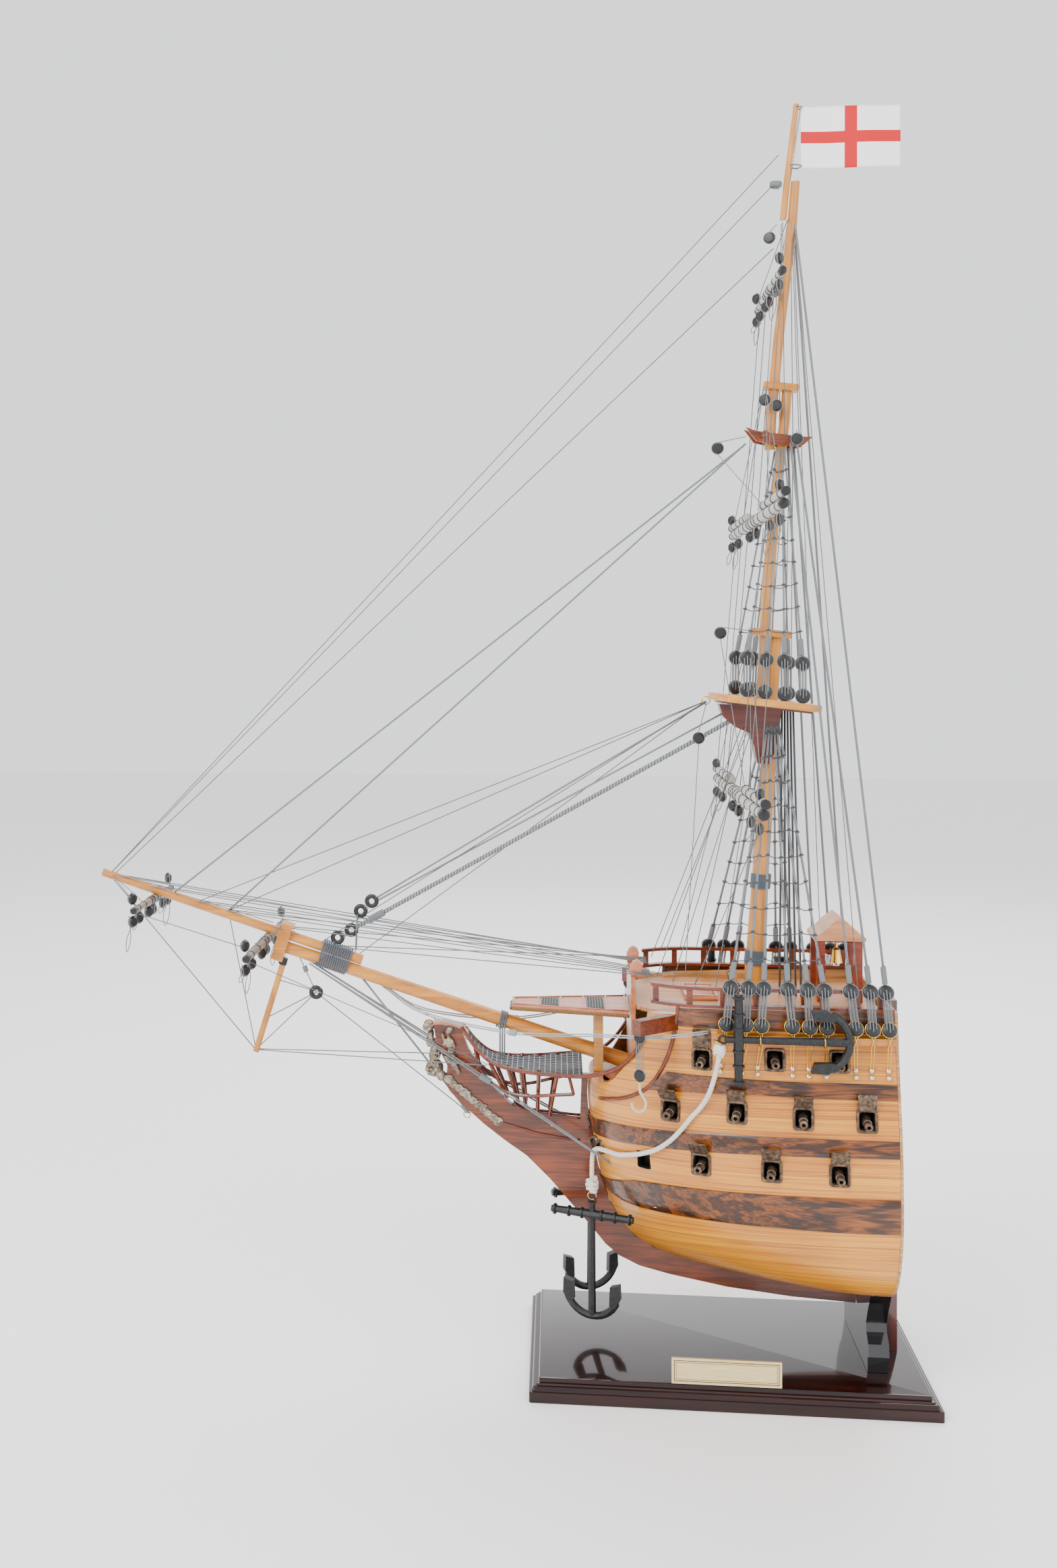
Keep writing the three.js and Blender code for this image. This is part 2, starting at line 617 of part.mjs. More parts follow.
/** Adds one named piece and gives its mesh back. */
function add(name, body, finish, group = ship) {
  const [color, roughness, metalness] = COLOURS[finish];
  const material = new THREE.MeshStandardMaterial({ color, roughness, metalness });
  const mesh = new THREE.Mesh(geometryOf(body), material);
  mesh.name = name;
  group.add(mesh);
  return mesh;
}

/** Adds a piece and its mirror image. */
function addPair(name, body, finish) {
  add(`${name}_port`, body, finish);
  add(`${name}_starboard`, mirrored(body), finish);
}

/** Plinth: one board with a stepped moulding round its foot. */
function plinth() {
  const tier = (extra, low, high) =>
    block(
      [-PLINTH.length / 2 - extra, -PLINTH.width / 2 - extra, low],
      [PLINTH.length / 2 + extra, PLINTH.width / 2 + extra, high],
    );
  return join([
    tier(PLINTH.step, 0, PLINTH.stepHeight),
    tier(PLINTH.step * 0.72, PLINTH.stepHeight - 1, PLINTH.stepHeight + 1.6),
    tier(PLINTH.step * 0.4, PLINTH.stepHeight - 1, PLINTH.thick - 3),
    tier(0, PLINTH.stepHeight - 1, PLINTH.thick),
  ]);
}

/** Board under the hull's end, scalloped at both sides and hollowed for the hull. */
function cradleBoard() {
  const side = [[58, PLINTH.thick + GAP], [58, 31], [63, 33], [61, 43], [52, 50], [50, 57], [58, 70], [72, 88]];
  const under = [[66, 86.5], [48, 78.6], [25, 72.4], [5, 66.8]];
  const half = [...side, ...under];
  const outline = [...half, ...half.map(([y, z]) => [-y, z]).reverse()];
  const shape = new THREE.Shape(outline.map(([y, z]) => new THREE.Vector2(y, z)));
  const geometry = new THREE.ExtrudeGeometry(shape, { depth: 17, bevelEnabled: false });
  geometry.rotateX(Math.PI / 2);
  geometry.rotateZ(Math.PI / 2);
  geometry.translate(115, 0, 0);
  return solid(geometry).subtract(CLEAR);
}

add("base_plinth", plinth(), "lacquer");
add("plinth_plate", block([-50, -98, PLINTH.thick + GAP], [39.5, -95.6, 39.5]), "brass");
add("cradle_board", cradleBoard(), "ebony");
add("mount_post", block([132.4, -12, PLINTH.thick + GAP], [148, 12, 322]), "mahogany");
add("aft_bulkhead", aftBulkhead(), "pine");
add("keel_stem", keelAndStem(), "mahogany");
add("hull_shell", hullShell(), "pine");
add("forecastle_deck", forecastleDeck(), "pine");
add("beakhead", beakhead(), "pear");
addPair("side_rail", sideRail(), "rosewood");
addPair("channel", channel(), "boxwood");
addPair("cathead", cathead(), "mahogany");
add("marines_walk", marinesWalk(), "pear");

add("bowsprit", spar(BOWSPRIT), "boxwood");
add("jibboom", spar(JIBBOOM), "boxwood");
add("bowsprit_cap", bowspritCap(), "boxwood");
add("dolphin_striker", bar([-391, 0, 342.4], [-416.5, 0, 260], 2.9, 2.8, 12), "boxwood");
add("spritsail_yard", yard(-407, 362, 100, 4.2, false), "tube");
add("sprit_topsail_yard", yard(-512, 397, 72, 3.7, false), "tube");

add("lower_mast", mast(LOWER_MAST), "boxwood");
add("topmast", mast(TOPMAST), "boxwood");
add("topgallant_mast", mast(TOPGALLANT), "boxwood");
add("flag_pole", mast(POLE), "boxwood");
add("foretop", foretop(), "boxwood");
add("lower_cap", mastCap([41.5, 640], 36, 17, 6, [LOWER_MAST, TOPMAST]), "boxwood");
add("crosstrees", crosstrees(), "mahogany");
add("topmast_cap", mastCap([50.8, 856], 30, 15, 6, [TOPMAST, TOPGALLANT]), "boxwood");
add("lower_yard", yard(14, 498, YARD_HALF, 5.8, true), "tube");
add("topsail_yard", yard(29, 738, YARD_HALF, 5.4, true), "tube");
add("topgallant_yard", yard(41.4, 940, 86, 4.4, false), "tube");
add("flag", slab([[68.5, 1047], [154, 1049], [154, 1097], [68.5, 1102]], 2.4), "cloth");

addPair("head_rail", headRail(), "mahogany");
add("head_grating", headGrating(), "net");
add("figurehead", figurehead(), "bronze");
add("belfry", belfry(), "mahogany");
addPair("anchor_cable", cable(), "rope");

const bell = add("bell", bellBody(), "brass");
bell.rotation.x = Math.PI / 2;
bell.position.set(98.5, 0, 368);

for (const [name, side] of [["port", -1], ["starboard", 1]]) {
  const { middle, lower } = LID_OPEN;
  MIDDLE_PORTS.forEach((at, i) => addLid(`lid_middle_${i + 1}_${name}`, at, side, middle[i]));
  LOWER_PORTS.forEach((at, i) => addLid(`lid_lower_${i + 1}_${name}`, at, side, lower[i]));

  const bower = add(`bower_anchor_${name}`, anchorBody(), "iron");
  bower.position.set(-114, side * 34, 147.5);
  bower.rotation.z = THREE.MathUtils.degToRad(20 * side);

  const sheet = add(`sheet_anchor_${name}`, anchorBody(), "iron");
  sheet.position.set(-11, side * 121.5, 309);
  sheet.rotation.y = -Math.PI / 2;
}

export default ship;
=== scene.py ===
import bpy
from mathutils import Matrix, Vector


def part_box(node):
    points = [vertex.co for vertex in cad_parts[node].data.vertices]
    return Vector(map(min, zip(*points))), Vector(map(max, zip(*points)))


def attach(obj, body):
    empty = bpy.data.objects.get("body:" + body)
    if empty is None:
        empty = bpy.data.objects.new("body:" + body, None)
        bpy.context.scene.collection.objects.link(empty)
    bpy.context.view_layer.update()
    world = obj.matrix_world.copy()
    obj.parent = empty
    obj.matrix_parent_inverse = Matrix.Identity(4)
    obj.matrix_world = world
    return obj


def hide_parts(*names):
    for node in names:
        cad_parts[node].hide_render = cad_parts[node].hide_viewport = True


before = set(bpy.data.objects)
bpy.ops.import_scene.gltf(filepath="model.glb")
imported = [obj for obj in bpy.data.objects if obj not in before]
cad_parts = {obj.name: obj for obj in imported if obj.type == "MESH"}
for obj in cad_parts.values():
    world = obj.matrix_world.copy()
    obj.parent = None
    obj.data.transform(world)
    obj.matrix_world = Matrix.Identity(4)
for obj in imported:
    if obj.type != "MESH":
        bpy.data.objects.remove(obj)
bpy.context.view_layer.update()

import math
import bpy
import bmesh
from mathutils import Matrix, Vector

MM = 0.001
SIDES = ((-1, "port"), (1, "starboard"))

# ------------------------------------------------------------------ camera, light and floor
# The model stands on a pale seamless sheet. The camera is level, off the port side at half
# the rig's height, turned a little towards the bow, with a small lens shift.
camera = bpy.data.objects.new("camera", bpy.data.cameras.new("camera"))
bpy.context.scene.collection.objects.link(camera)
camera.data.lens = 38.69
camera.data.sensor_width = 36
camera.data.shift_x = 0.1029
camera.data.shift_y = -0.0848
camera.data.clip_start = 0.05
camera.location = (-0.1433, -1.512, 0.6242)
camera.rotation_euler = (math.radians(90), 0, math.radians(6.467))
bpy.context.scene.camera = camera

world = bpy.data.worlds.new("studio")
world.use_nodes = True
world.node_tree.nodes["Background"].inputs[0].default_value = (0.96, 0.97, 1, 1)
world.node_tree.nodes["Background"].inputs[1].default_value = 1.6
bpy.context.scene.world = world
for name, place, size, power in (
    ("key", (-1.5, -1.9, 2.1), 1.2, 80),
    ("fill", (1.7, -1.6, 1.2), 1.6, 26),
    ("back", (0.3, 1.7, 2.2), 1.6, 60),
):
    lamp = bpy.data.objects.new(name, bpy.data.lights.new(name, "AREA"))
    lamp.data.energy = power
    lamp.data.size = size
    lamp.location = place
    aim = Vector((-0.1, 0, 0.4)) - Vector(place)
    lamp.rotation_euler = aim.to_track_quat("-Z", "Y").to_euler()
    bpy.context.scene.collection.objects.link(lamp)


def rgba(code):
    """A linear colour from an sRGB hex code."""
    parts = [int(code[i : i + 2], 16) / 255 for i in (0, 2, 4)]
    return [c / 12.92 if c <= 0.04045 else ((c + 0.055) / 1.055) ** 2.4 for c in parts] + [1]


def node(tree, kind, ramp=None, **inputs):
    """Adds a node. A socket given as a value is linked; props start with an underscore."""
    made = tree.nodes.new("ShaderNode" + kind)
    for key, value in inputs.items():
        if key.startswith("_"):
            setattr(made, key[1:], value)
            continue
        socket = made.inputs[int(key[1:])] if key[1:].isdigit() else made.inputs[key.replace("_", " ")]
        if isinstance(value, bpy.types.NodeSocket):
            tree.links.new(value, socket)
        else:
            socket.default_value = value
    if ramp:
        while len(made.color_ramp.elements) < len(ramp):
            made.color_ramp.elements.new(0.5)
        for element, (place, colour) in zip(made.color_ramp.elements, ramp):
            element.position = place
            element.color = colour
    return made


def material(name):
    """A new material, its tree and its shader."""
    made = bpy.data.materials.new(name)
    made.use_nodes = True
    return made, made.node_tree, made.node_tree.nodes["Principled BSDF"]


def mesh_object(name, vertices, faces, paint, uvs=None, smooth=True):
    """A mesh object from points in millimetres; uvs holds one pair for each vertex."""
    mesh = bpy.data.meshes.new(name)
    mesh.from_pydata([Vector(v) * MM for v in vertices], [], faces)
    mesh.materials.append(paint)
    if uvs:
        layer = mesh.uv_layers.new(name="UVMap")
        for loop in mesh.loops:
            layer.data[loop.index].uv = uvs[loop.vertex_index]
    mesh.polygons.foreach_set("use_smooth", [smooth] * len(mesh.polygons))
    made = bpy.data.objects.new(name, mesh)
    bpy.context.scene.collection.objects.link(made)
    return made


def paint_node(name, paint):
    """Gives a CAD node its material."""
    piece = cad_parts[name]
    piece.data.materials.clear()
    piece.data.materials.append(paint)


def mottled(
    name, tones, scale, detail, roughness, metallic=0.0, coat=0.0, relief=0.0, depth=0.0002, in_place=True
):
    """A paint, stain or metal whose colour drifts between tones, rough where it has relief.
    The pattern has a scale in metres where it is in place, or one fitted to the piece."""
    made, tree, shader = material(name)
    drift = node(tree, "TexNoise", Scale=scale, Detail=detail)
    if in_place:
        tree.links.new(node(tree, "TexCoord").outputs["Object"], drift.inputs["Vector"])
    ramp = [(share, rgba(colour)) for share, colour in tones]
    tone = node(tree, "ValToRGB", ramp=ramp, Fac=drift.outputs[0])
    tree.links.new(tone.outputs[0], shader.inputs["Base Color"])
    if relief:
        bump = node(tree, "Bump", Strength=relief, Distance=depth, Height=drift.outputs[0])
        tree.links.new(bump.outputs[0], shader.inputs["Normal"])
    shader.inputs["Roughness"].default_value = roughness
    shader.inputs["Metallic"].default_value = metallic
    shader.inputs["Coat Weight"].default_value = coat
    return made


floor_paint = mottled("paper sweep", [(0.3, "f3f1ef"), (0.7, "f8f6f5")], 3, 3, 0.85, in_place=False)
floor = mesh_object(
    "floor",
    [(-6000, -5000, 0), (6000, -5000, 0), (6000, 7000, 0), (-6000, 7000, 0)],
    [(0, 1, 2, 3)],
    floor_paint,
)

# ------------------------------------------------------------------ anchor cables
# Two hawsers of cabled white cotton. Each is knotted to the sheet anchor's ring, droops
# along the bow to the hawse, and turns down to hold the hanging anchor by a second knot.
cotton, tree, shader = material("white cotton cable")
place = node(tree, "UVMap")
strand = node(tree, "SeparateXYZ", Vector=place.outputs[0])
turn = node(tree, "Math", _operation="MULTIPLY_ADD", i0=strand.outputs[0], i1=0.9, i2=strand.outputs[1])
fibre = node(tree, "TexNoise", Vector=place.outputs[0], Scale=14, Detail=4)
yarn = node(
    tree, "Math", _operation="SINE",
    i0=node(tree, "Math", _operation="MULTIPLY", i0=turn.outputs[0], i1=75.4).outputs[0]
)
shade = node(tree, "ValToRGB", ramp=[(0.2, rgba("b9b2a4")), (0.6, rgba("e9e4da"))], Fac=fibre.outputs[0])
tree.links.new(shade.outputs[0], shader.inputs["Base Color"])
bump = node(tree, "Bump", Strength=0.5, Distance=0.0002, Height=yarn.outputs[0])
tree.links.new(bump.outputs[0], shader.inputs["Normal"])
shader.inputs["Roughness"].default_value = 0.9
shader.inputs["Sheen Weight"].default_value = 0.3


def smooth_path(points, step):
    """Points at about the given step along a smooth line through the points."""
    points = [Vector(p) for p in points]
    if len(points) == 2:
        count = max(1, round((points[1] - points[0]).length / step))
        return [points[0].lerp(points[1], i / count) for i in range(count + 1)]
    padded = [points[0] * 2 - points[1], *points, points[-1] * 2 - points[-2]]
    line = []
    for a, b, c, d in zip(padded, padded[1:], padded[2:], padded[3:]):
        count = max(1, round((c - b).length / step))
        for i in range(count):
            f = i / count
            bend = 2 * a - 5 * b + 4 * c - d + f * (3 * b - 3 * c + d - a)
            line.append(b + 0.5 * f * (c - a + f * bend))
    return line + [points[-1]]


def rope(name, lines, diameter, paint, sides=6, strands=0, lay=4.0, step=4.0, body="ship"):
    """Laid rope or thread along each line, in millimetres. UV is length and turn in diameters."""
    vertices, faces, uvs = [], [], []
    for points in lines:
        line = smooth_path(points, step)
        normal = None
        run = 0
        base = len(vertices)
        for i, here in enumerate(line):
            along = (line[min(i + 1, len(line) - 1)] - line[max(i - 1, 0)]).normalized()
            if normal is None:
                normal = along.orthogonal().normalized()
            normal = (normal - along * normal.dot(along)).normalized()
            across = along.cross(normal)
            if i:
                run += (here - line[i - 1]).length
            for k in range(sides + 1):
                angle = 2 * math.pi * k / sides
                twist = angle - 2 * math.pi * run / (lay * diameter)
                r = diameter / 2
                if strands:
                    r *= 0.8 + 0.22 * abs(math.cos(strands * twist / 2))
                vertices.append(here + (normal * math.cos(angle) + across * math.sin(angle)) * r)
                uvs.append((run / diameter, k / sides))
        width = sides + 1
        for i in range(len(line) - 1):
            for k in range(sides):
                a = base + i * width + k
                faces.append((a, a + 1, a + 1 + width, a + width))
        faces.append(tuple(base + k for k in range(sides))[::-1])
        top = base + (len(line) - 1) * width
        faces.append(tuple(top + k for k in range(sides)))
    made = mesh_object(name, vertices, faces, paint, uvs)
    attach(made, body)
    return made


CABLE_THICK = 4.2
CABLE = [
    (-13, 120.5, 303), (-14, 118, 290), (-16.5, 111.5, 275), (-20.5, 105.5, 260),
    (-26, 98.6, 248), (-34, 96.2, 238), (-42, 93.8, 227), (-51, 90.2, 216.5),
    (-62, 83.7, 207), (-74, 74.5, 200.5), (-85, 64.2, 196), (-93, 55.2, 193.5),
    (-101.5, 43, 192.6), (-109, 32, 191), (-112.8, 26, 186.5), (-113.8, 26, 179), (-114, 27.7, 170),
    (-114, 30.3, 160), (-114, 32.8, 152.2),
]
for side, name in SIDES:
    route = [Vector((x, side * y, z)) for x, y, z in CABLE]
    line = smooth_path(route, 1.1)
    cable = rope(f"cable_{name}", [route], CABLE_THICK, cotton, sides=18, strands=3, lay=2.6, step=1.1)
    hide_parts(f"anchor_cable_{name}")
    knots = []
    for low, high, size in (
        ((-114, 29, 164.5), (-114, 32, 154.5), 1.0), ((-13.6, 119.2, 296), (-13, 120.5, 304), 0.85)
    ):
        low, high = (Vector((p[0], side * p[1], p[2])) for p in (low, high))
        axis = high - low
        coil = []
        for i in range(61):
            f = i / 60
            wide = (3.1 + 1.2 * math.sin(math.pi * f)) * size
            angle = 2 * math.pi * 3.2 * f + side
            out = Vector((math.cos(angle), math.sin(angle), 0.35 * math.sin(2 * angle)))
            coil.append(low + axis * f + out * wide)
        knots.append(coil)
        knots.append(
            [
                low + Vector((3, 0, 1)), low.lerp(high, 0.5) + Vector((3.6, -side * 3.4, 0)),
                high + Vector((-2, 0, 0))
            ]
        )
    knot = rope(f"cable_knots_{name}", knots, 3.4, cotton, sides=12, strands=3, lay=2.6, step=1.1)

# ------------------------------------------------------------------ plinth, post and cradle
# One board with a stepped moulding, sprayed with very dark red-brown lacquer and polished
# to a mirror. The post behind the sawn face is lacquered mahogany, and the cradle is black.
lacquer, tree, shader = material("dark red-brown lacquer")
where = node(tree, "TexCoord")
grain = node(tree, "Mapping", Vector=where.outputs["Object"], Scale=(9, 130, 130))
figure = node(tree, "TexNoise", Vector=grain.outputs[0], Scale=1, Detail=5, Distortion=0.4)
tone = node(tree, "ValToRGB", ramp=[(0.35, rgba("150706")), (0.75, rgba("2a100c"))], Fac=figure.outputs[0])
tree.links.new(tone.outputs[0], shader.inputs["Base Color"])
shader.inputs["Roughness"].default_value = 0.13
shader.inputs["Specular IOR Level"].default_value = 0.15
shader.inputs["Coat Weight"].default_value = 0.5
shader.inputs["Coat Roughness"].default_value = 0.04
ripple = node(tree, "TexNoise", Vector=where.outputs["Object"], Scale=25, Detail=1)
bump = node(tree, "Bump", Strength=0.05, Distance=0.0005, Height=ripple.outputs[0])
tree.links.new(bump.outputs[0], shader.inputs["Coat Normal"])


def moulded_board(name, rings, paint):
    """A board from rings of (half length, half width, z, corner radius), closed both ends."""
    vertices, faces = [], []
    per = 28
    for half_x, half_y, z, corner in rings:
        for quarter in range(4):
            sx, sy = ((1, 1), (-1, 1), (-1, -1), (1, -1))[quarter]
            for k in range(7):
                angle = math.pi / 2 * (quarter + k / 6)
                x = sx * (half_x - corner) + corner * math.cos(angle)
                y = sy * (half_y - corner) + corner * math.sin(angle)
                vertices.append((x, y, z))
    for i in range(len(rings) - 1):
        for k in range(per):
            a, b = i * per + k, i * per + (k + 1) % per
            faces.append((a, b, b + per, a + per))
    faces.append(tuple(range(per))[::-1])
    faces.append(tuple(range((len(rings) - 1) * per, len(rings) * per)))
    made = mesh_object(name, vertices, faces, paint)
    made.data.set_sharp_from_angle(angle=math.radians(24))
    return made


rings = [(167, 106.5, 0, 2), (167.5, 107, 0.5, 2), (167.5, 107, 8.2, 2), (166.9, 106.4, 8.8, 2)]
rings += [(165.2, 104.7, 8.9, 2), (165.0, 104.4, 9.9, 2)]
rings += [
    (162.6 + 2.2 * math.cos(a), 102 + 2.2 * math.cos(a), 10.2 + 2.4 * math.sin(a), 2)
    for a in (0, 0.4, 0.8, 1.2, 1.5)
]
rings += [
    (161.8, 101.3, 12.8, 1.5), (161.6, 101.1, 14.4, 1.5), (159.6, 99.1, 14.8, 1), (159.2, 98.7, 15.4, 1)
]
rings += [(159.2, 98.6, 17.2, 1), (158.7, 98.1, 17.85, 1), (158.2, 97.6, 18, 1)]
board = moulded_board("plinth", rings, lacquer)
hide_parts("base_plinth")
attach(board, "ship")

post_wood, tree, shader = material("lacquered mahogany post")
where = node(tree, "TexCoord")
grain = node(tree, "Mapping", Vector=where.outputs["Object"], Scale=(160, 160, 8))
figure = node(tree, "TexNoise", Vector=grain.outputs[0], Scale=1, Detail=6, Distortion=0.5)
tone = node(tree, "ValToRGB", ramp=[(0.3, rgba("2b0d09")), (0.7, rgba("54190f"))], Fac=figure.outputs[0])
tree.links.new(tone.outputs[0], shader.inputs["Base Color"])
shader.inputs["Roughness"].default_value = 0.22
shader.inputs["Coat Weight"].default_value = 0.8
shader.inputs["Coat Roughness"].default_value = 0.06
paint_node("mount_post", post_wood)

ebony = mottled("black gloss lacquer", [(0.3, "060607"), (0.8, "0d0d0f")], 40, 2, 0.1, coat=1)
paint_node("cradle_board", ebony)

# ------------------------------------------------------------------ plate
# A strip of etched brass with a double border and a blank, brushed middle. It stands
# upright at the plinth's front edge.
brass, tree, shader = material("brushed brass plate")
where = node(tree, "TexCoord")
brushed = node(tree, "Mapping", Vector=where.outputs["Object"], Scale=(60, 900, 2500))
marks = node(tree, "TexNoise", Vector=brushed.outputs[0], Scale=1, Detail=3)
tone = node(tree, "ValToRGB", ramp=[(0.3, rgba("d9c389")), (0.7, rgba("f0dfae"))], Fac=marks.outputs[0])
tree.links.new(tone.outputs[0], shader.inputs["Base Color"])
shader.inputs["Metallic"].default_value = 0.85
shader.inputs["Roughness"].default_value = 0.36
bump = node(tree, "Bump", Strength=0.15, Distance=0.0001, Height=marks.outputs[0])
tree.links.new(bump.outputs[0], shader.inputs["Normal"])
paint_node("plinth_plate", brass)
etch_tones = [(0.3, "3a2c18"), (0.7, "57452a")]
dark_etch = mottled("etched border", etch_tones, 900, 2, 0.55, metallic=0.5, in_place=False)
low, high = (Vector(c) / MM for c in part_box("plinth_plate"))
vertices, faces = [], []
for margin, wide in ((2.0, 0.55), (3.6, 0.3)):
    for x0, x1, z0, z1 in (
        (low.x + margin, high.x - margin, low.z + margin, low.z + margin + wide),
        (low.x + margin, high.x - margin, high.z - margin - wide, high.z - margin),
        (low.x + margin, low.x + margin + wide, low.z + margin, high.z - margin),
        (high.x - margin - wide, high.x - margin, low.z + margin, high.z - margin),
    ):
        a = len(vertices)
        for y in (low.y - 0.12, low.y + 0.1):
            vertices += [(x0, y, z0), (x1, y, z0), (x1, y, z1), (x0, y, z1)]
        faces += [(a, a + 1, a + 2, a + 3), (a + 4, a + 7, a + 6, a + 5), (a, a + 4, a + 5, a + 1)]
        faces += [(a + 1, a + 5, a + 6, a + 2), (a + 2, a + 6, a + 7, a + 3), (a + 3, a + 7, a + 4, a)]
border = mesh_object("plate_border", vertices, faces, dark_etch, smooth=False)
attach(border, "ship")

# ------------------------------------------------------------------ hull planking
# Wide strakes of light pine over the bow, bent along the hull's run and varnished. The
# gun ports and the opening for the head are cut right through.
CUT_X = 129.4
HULL_LINES = [
    (129.4, 68, 6, 68, 60, 0.8), (60, 79, 48, 80, 70, 0.85), (-5, 86, 84, 93, 134, 0.9),
    (-45, 93, 103, 109, 174, 0.87), (-76, 108, 115, 130, 200, 0.82), (-95, 133, 121.5, 152, 206, 0.73),
    (-105, 160, 123, 172, 206, 0.64), (-110, 182, 122, 192, 200, 0.57), (-114, 206, 120, 215, 203, 0.53),
    (-117, 230, 116, 240, 213, 0.5), (-115, 252, 110, 265, 190, 0.48), (-106, 284, 103, 295, 142, 0.46),
    (-100, 318, 97.5, 329, 80, 0.5),
]
START_X, START_Z, END_Y, END_Z, RUN, FINE = range(6)


def line_value(key, t):
    """One column of HULL_LINES at t, from 0 at the keel to 1 at the rail."""
    last = len(HULL_LINES) - 1
    at = min(max(t, 0), 1) * last
    i = min(int(at), last - 1)
    f = at - i
    a, b, c, d = (HULL_LINES[min(max(k, 0), last)][key] for k in (i - 1, i, i + 1, i + 2))
    return b + 0.5 * f * (c - a + f * (2 * a - 5 * b + 4 * c - d + f * (3 * b - 3 * c + d - a)))


def hull_point(t, x):
    """Half breadth and height of planking line t at station x."""
    start = line_value(START_X, t)
    s = min(max((x - start) / max(CUT_X - start, 0.001), 0), 1)
    swell = min(max((x - start) / line_value(RUN, t), 0), 1)
    full = (1 - (1 - swell) ** 2) ** line_value(FINE, t)
    low = line_value(START_Z, t)
    half = 4.5 + (line_value(END_Y, t) - 4.5) * full
    return half, low + (line_value(END_Z, t) - low) * (1 - (1 - s) ** 2)


def breadth(x, z):
    """Half breadth of the hull at station x and height z."""
    low, high = 0, 1
    for _ in range(26):
        middle = (low + high) / 2
        if line_value(START_X, middle) > x or hull_point(middle, x)[1] < z:
            low = middle
        else:
            high = middle
    return hull_point((low + high) / 2, x)[0]


def on_hull(x, z, side, proud=0.0):
    """A point on the hull's side, out along its normal by proud, and that normal."""
    slope_x = (breadth(x + 0.8, z) - breadth(x - 0.8, z)) / 1.6
    slope_z = (breadth(x, z + 0.8) - breadth(x, z - 0.8)) / 1.6
    normal = Vector((-slope_x, side, -slope_z)).normalized()
    return Vector((x, side * breadth(x, z), z)) + normal * proud, normal


def wood(name, pale, deep, along=14, across=420, gloss=0.3, knots=0.0, grain="UV", axis=0):
    """Varnished timber: streaks along the grain, fine pores, and knots where asked."""
    made, tree, shader = material(name)
    where = node(tree, "TexCoord")
    scale = [across] * 3
    scale[axis] = along
    lie = node(tree, "Mapping", Vector=where.outputs[grain], Scale=scale)
    streak = node(tree, "TexNoise", Vector=lie.outputs[0], Scale=1, Detail=6, Distortion=0.6 + 3 * knots)
    cloud = node(tree, "TexNoise", Vector=where.outputs["Object"], Scale=28, Detail=2)
    both = node(tree, "Math", _operation="MULTIPLY_ADD", i0=cloud.outputs[0], i1=0.45, i2=streak.outputs[0])
    tone = node(tree, "ValToRGB", ramp=[(0.5, rgba(deep)), (0.95, rgba(pale))], Fac=both.outputs[0])
    colour = tone.outputs[0]
    if knots:
        bands = node(
            tree, "TexWave", Vector=lie.outputs[0], Scale=0.35, Distortion=9, Detail=4, Detail_Scale=1.4
        )
        dark = node(
            tree, "ValToRGB", ramp=[(0.15, rgba(deep)), (0.6, rgba("ffffff"))], Fac=bands.outputs[0]
        )
        mixed = node(tree, "MixRGB", _blend_type="MULTIPLY", i0=knots, i1=colour, i2=dark.outputs[0])
        colour = mixed.outputs[0]
    tree.links.new(colour, shader.inputs["Base Color"])
    pores = node(tree, "TexNoise", Vector=lie.outputs[0], Scale=3.4, Detail=3)
    bump = node(tree, "Bump", Strength=0.16, Distance=0.0002, Height=pores.outputs[0])
    tree.links.new(bump.outputs[0], shader.inputs["Normal"])
    shader.inputs["Roughness"].default_value = gloss
    shader.inputs["Coat Weight"].default_value = 0.3
    shader.inputs["Coat Roughness"].default_value = 0.12
    return made


pine, tree, shader = material("varnished pine planking")
where = node(tree, "TexCoord")
parts = node(tree, "SeparateXYZ", Vector=where.outputs["UV"])
planks = node(tree, "Math", _operation="MULTIPLY", i0=parts.outputs[1], i1=26)
number = node(tree, "Math", _operation="FLOOR", i0=planks.outputs[0])
within = node(tree, "Math", _operation="FRACT", i0=planks.outputs[0])
edge = node(tree, "Math", _operation="PINGPONG", i0=within.outputs[0], i1=0.5)
seam = node(tree, "ValToRGB", ramp=[(0.0, rgba("6d3d1c")), (0.045, rgba("ffffff"))], Fac=edge.outputs[0])
random_tone = node(tree, "TexWhiteNoise", _noise_dimensions="1D", W=number.outputs[0])
shift = node(tree, "CombineXYZ", X=parts.outputs[0], Y=parts.outputs[1], Z=random_tone.outputs[0])
lie = node(tree, "Mapping", Vector=shift.outputs[0], Scale=(9, 260, 40))
streak = node(tree, "TexNoise", Vector=lie.outputs[0], Scale=1, Detail=6, Distortion=0.8)
cloud = node(tree, "TexNoise", Vector=where.outputs["Object"], Scale=16, Detail=2)
sums = node(
    tree, "Math", _operation="MULTIPLY_ADD", i0=random_tone.outputs[0], i1=0.16, i2=streak.outputs[0]
)
sums = node(tree, "Math", _operation="MULTIPLY_ADD", i0=cloud.outputs[0], i1=0.25, i2=sums.outputs[0])
tone = node(
    tree, "ValToRGB", ramp=[(0.42, rgba("8a470a")), (0.62, rgba("bb7016")), (0.95, rgba("e09c28"))],
    Fac=sums.outputs[0]
)
worn = node(tree, "MixRGB", _blend_type="MULTIPLY", i0=0.55, i1=tone.outputs[0], i2=seam.outputs[0])
tree.links.new(worn.outputs[0], shader.inputs["Base Color"])
height = node(
    tree, "Math", _operation="MULTIPLY_ADD", i0=streak.outputs[0], i1=0.12,
    i2=node(tree, "Math", _operation="MINIMUM", i0=edge.outputs[0], i1=0.05).outputs[0]
)
bump = node(tree, "Bump", Strength=0.35, Distance=0.0006, Height=height.outputs[0])
tree.links.new(bump.outputs[0], shader.inputs["Normal"])
shader.inputs["Roughness"].default_value = 0.34
shader.inputs["Coat Weight"].default_value = 0.4
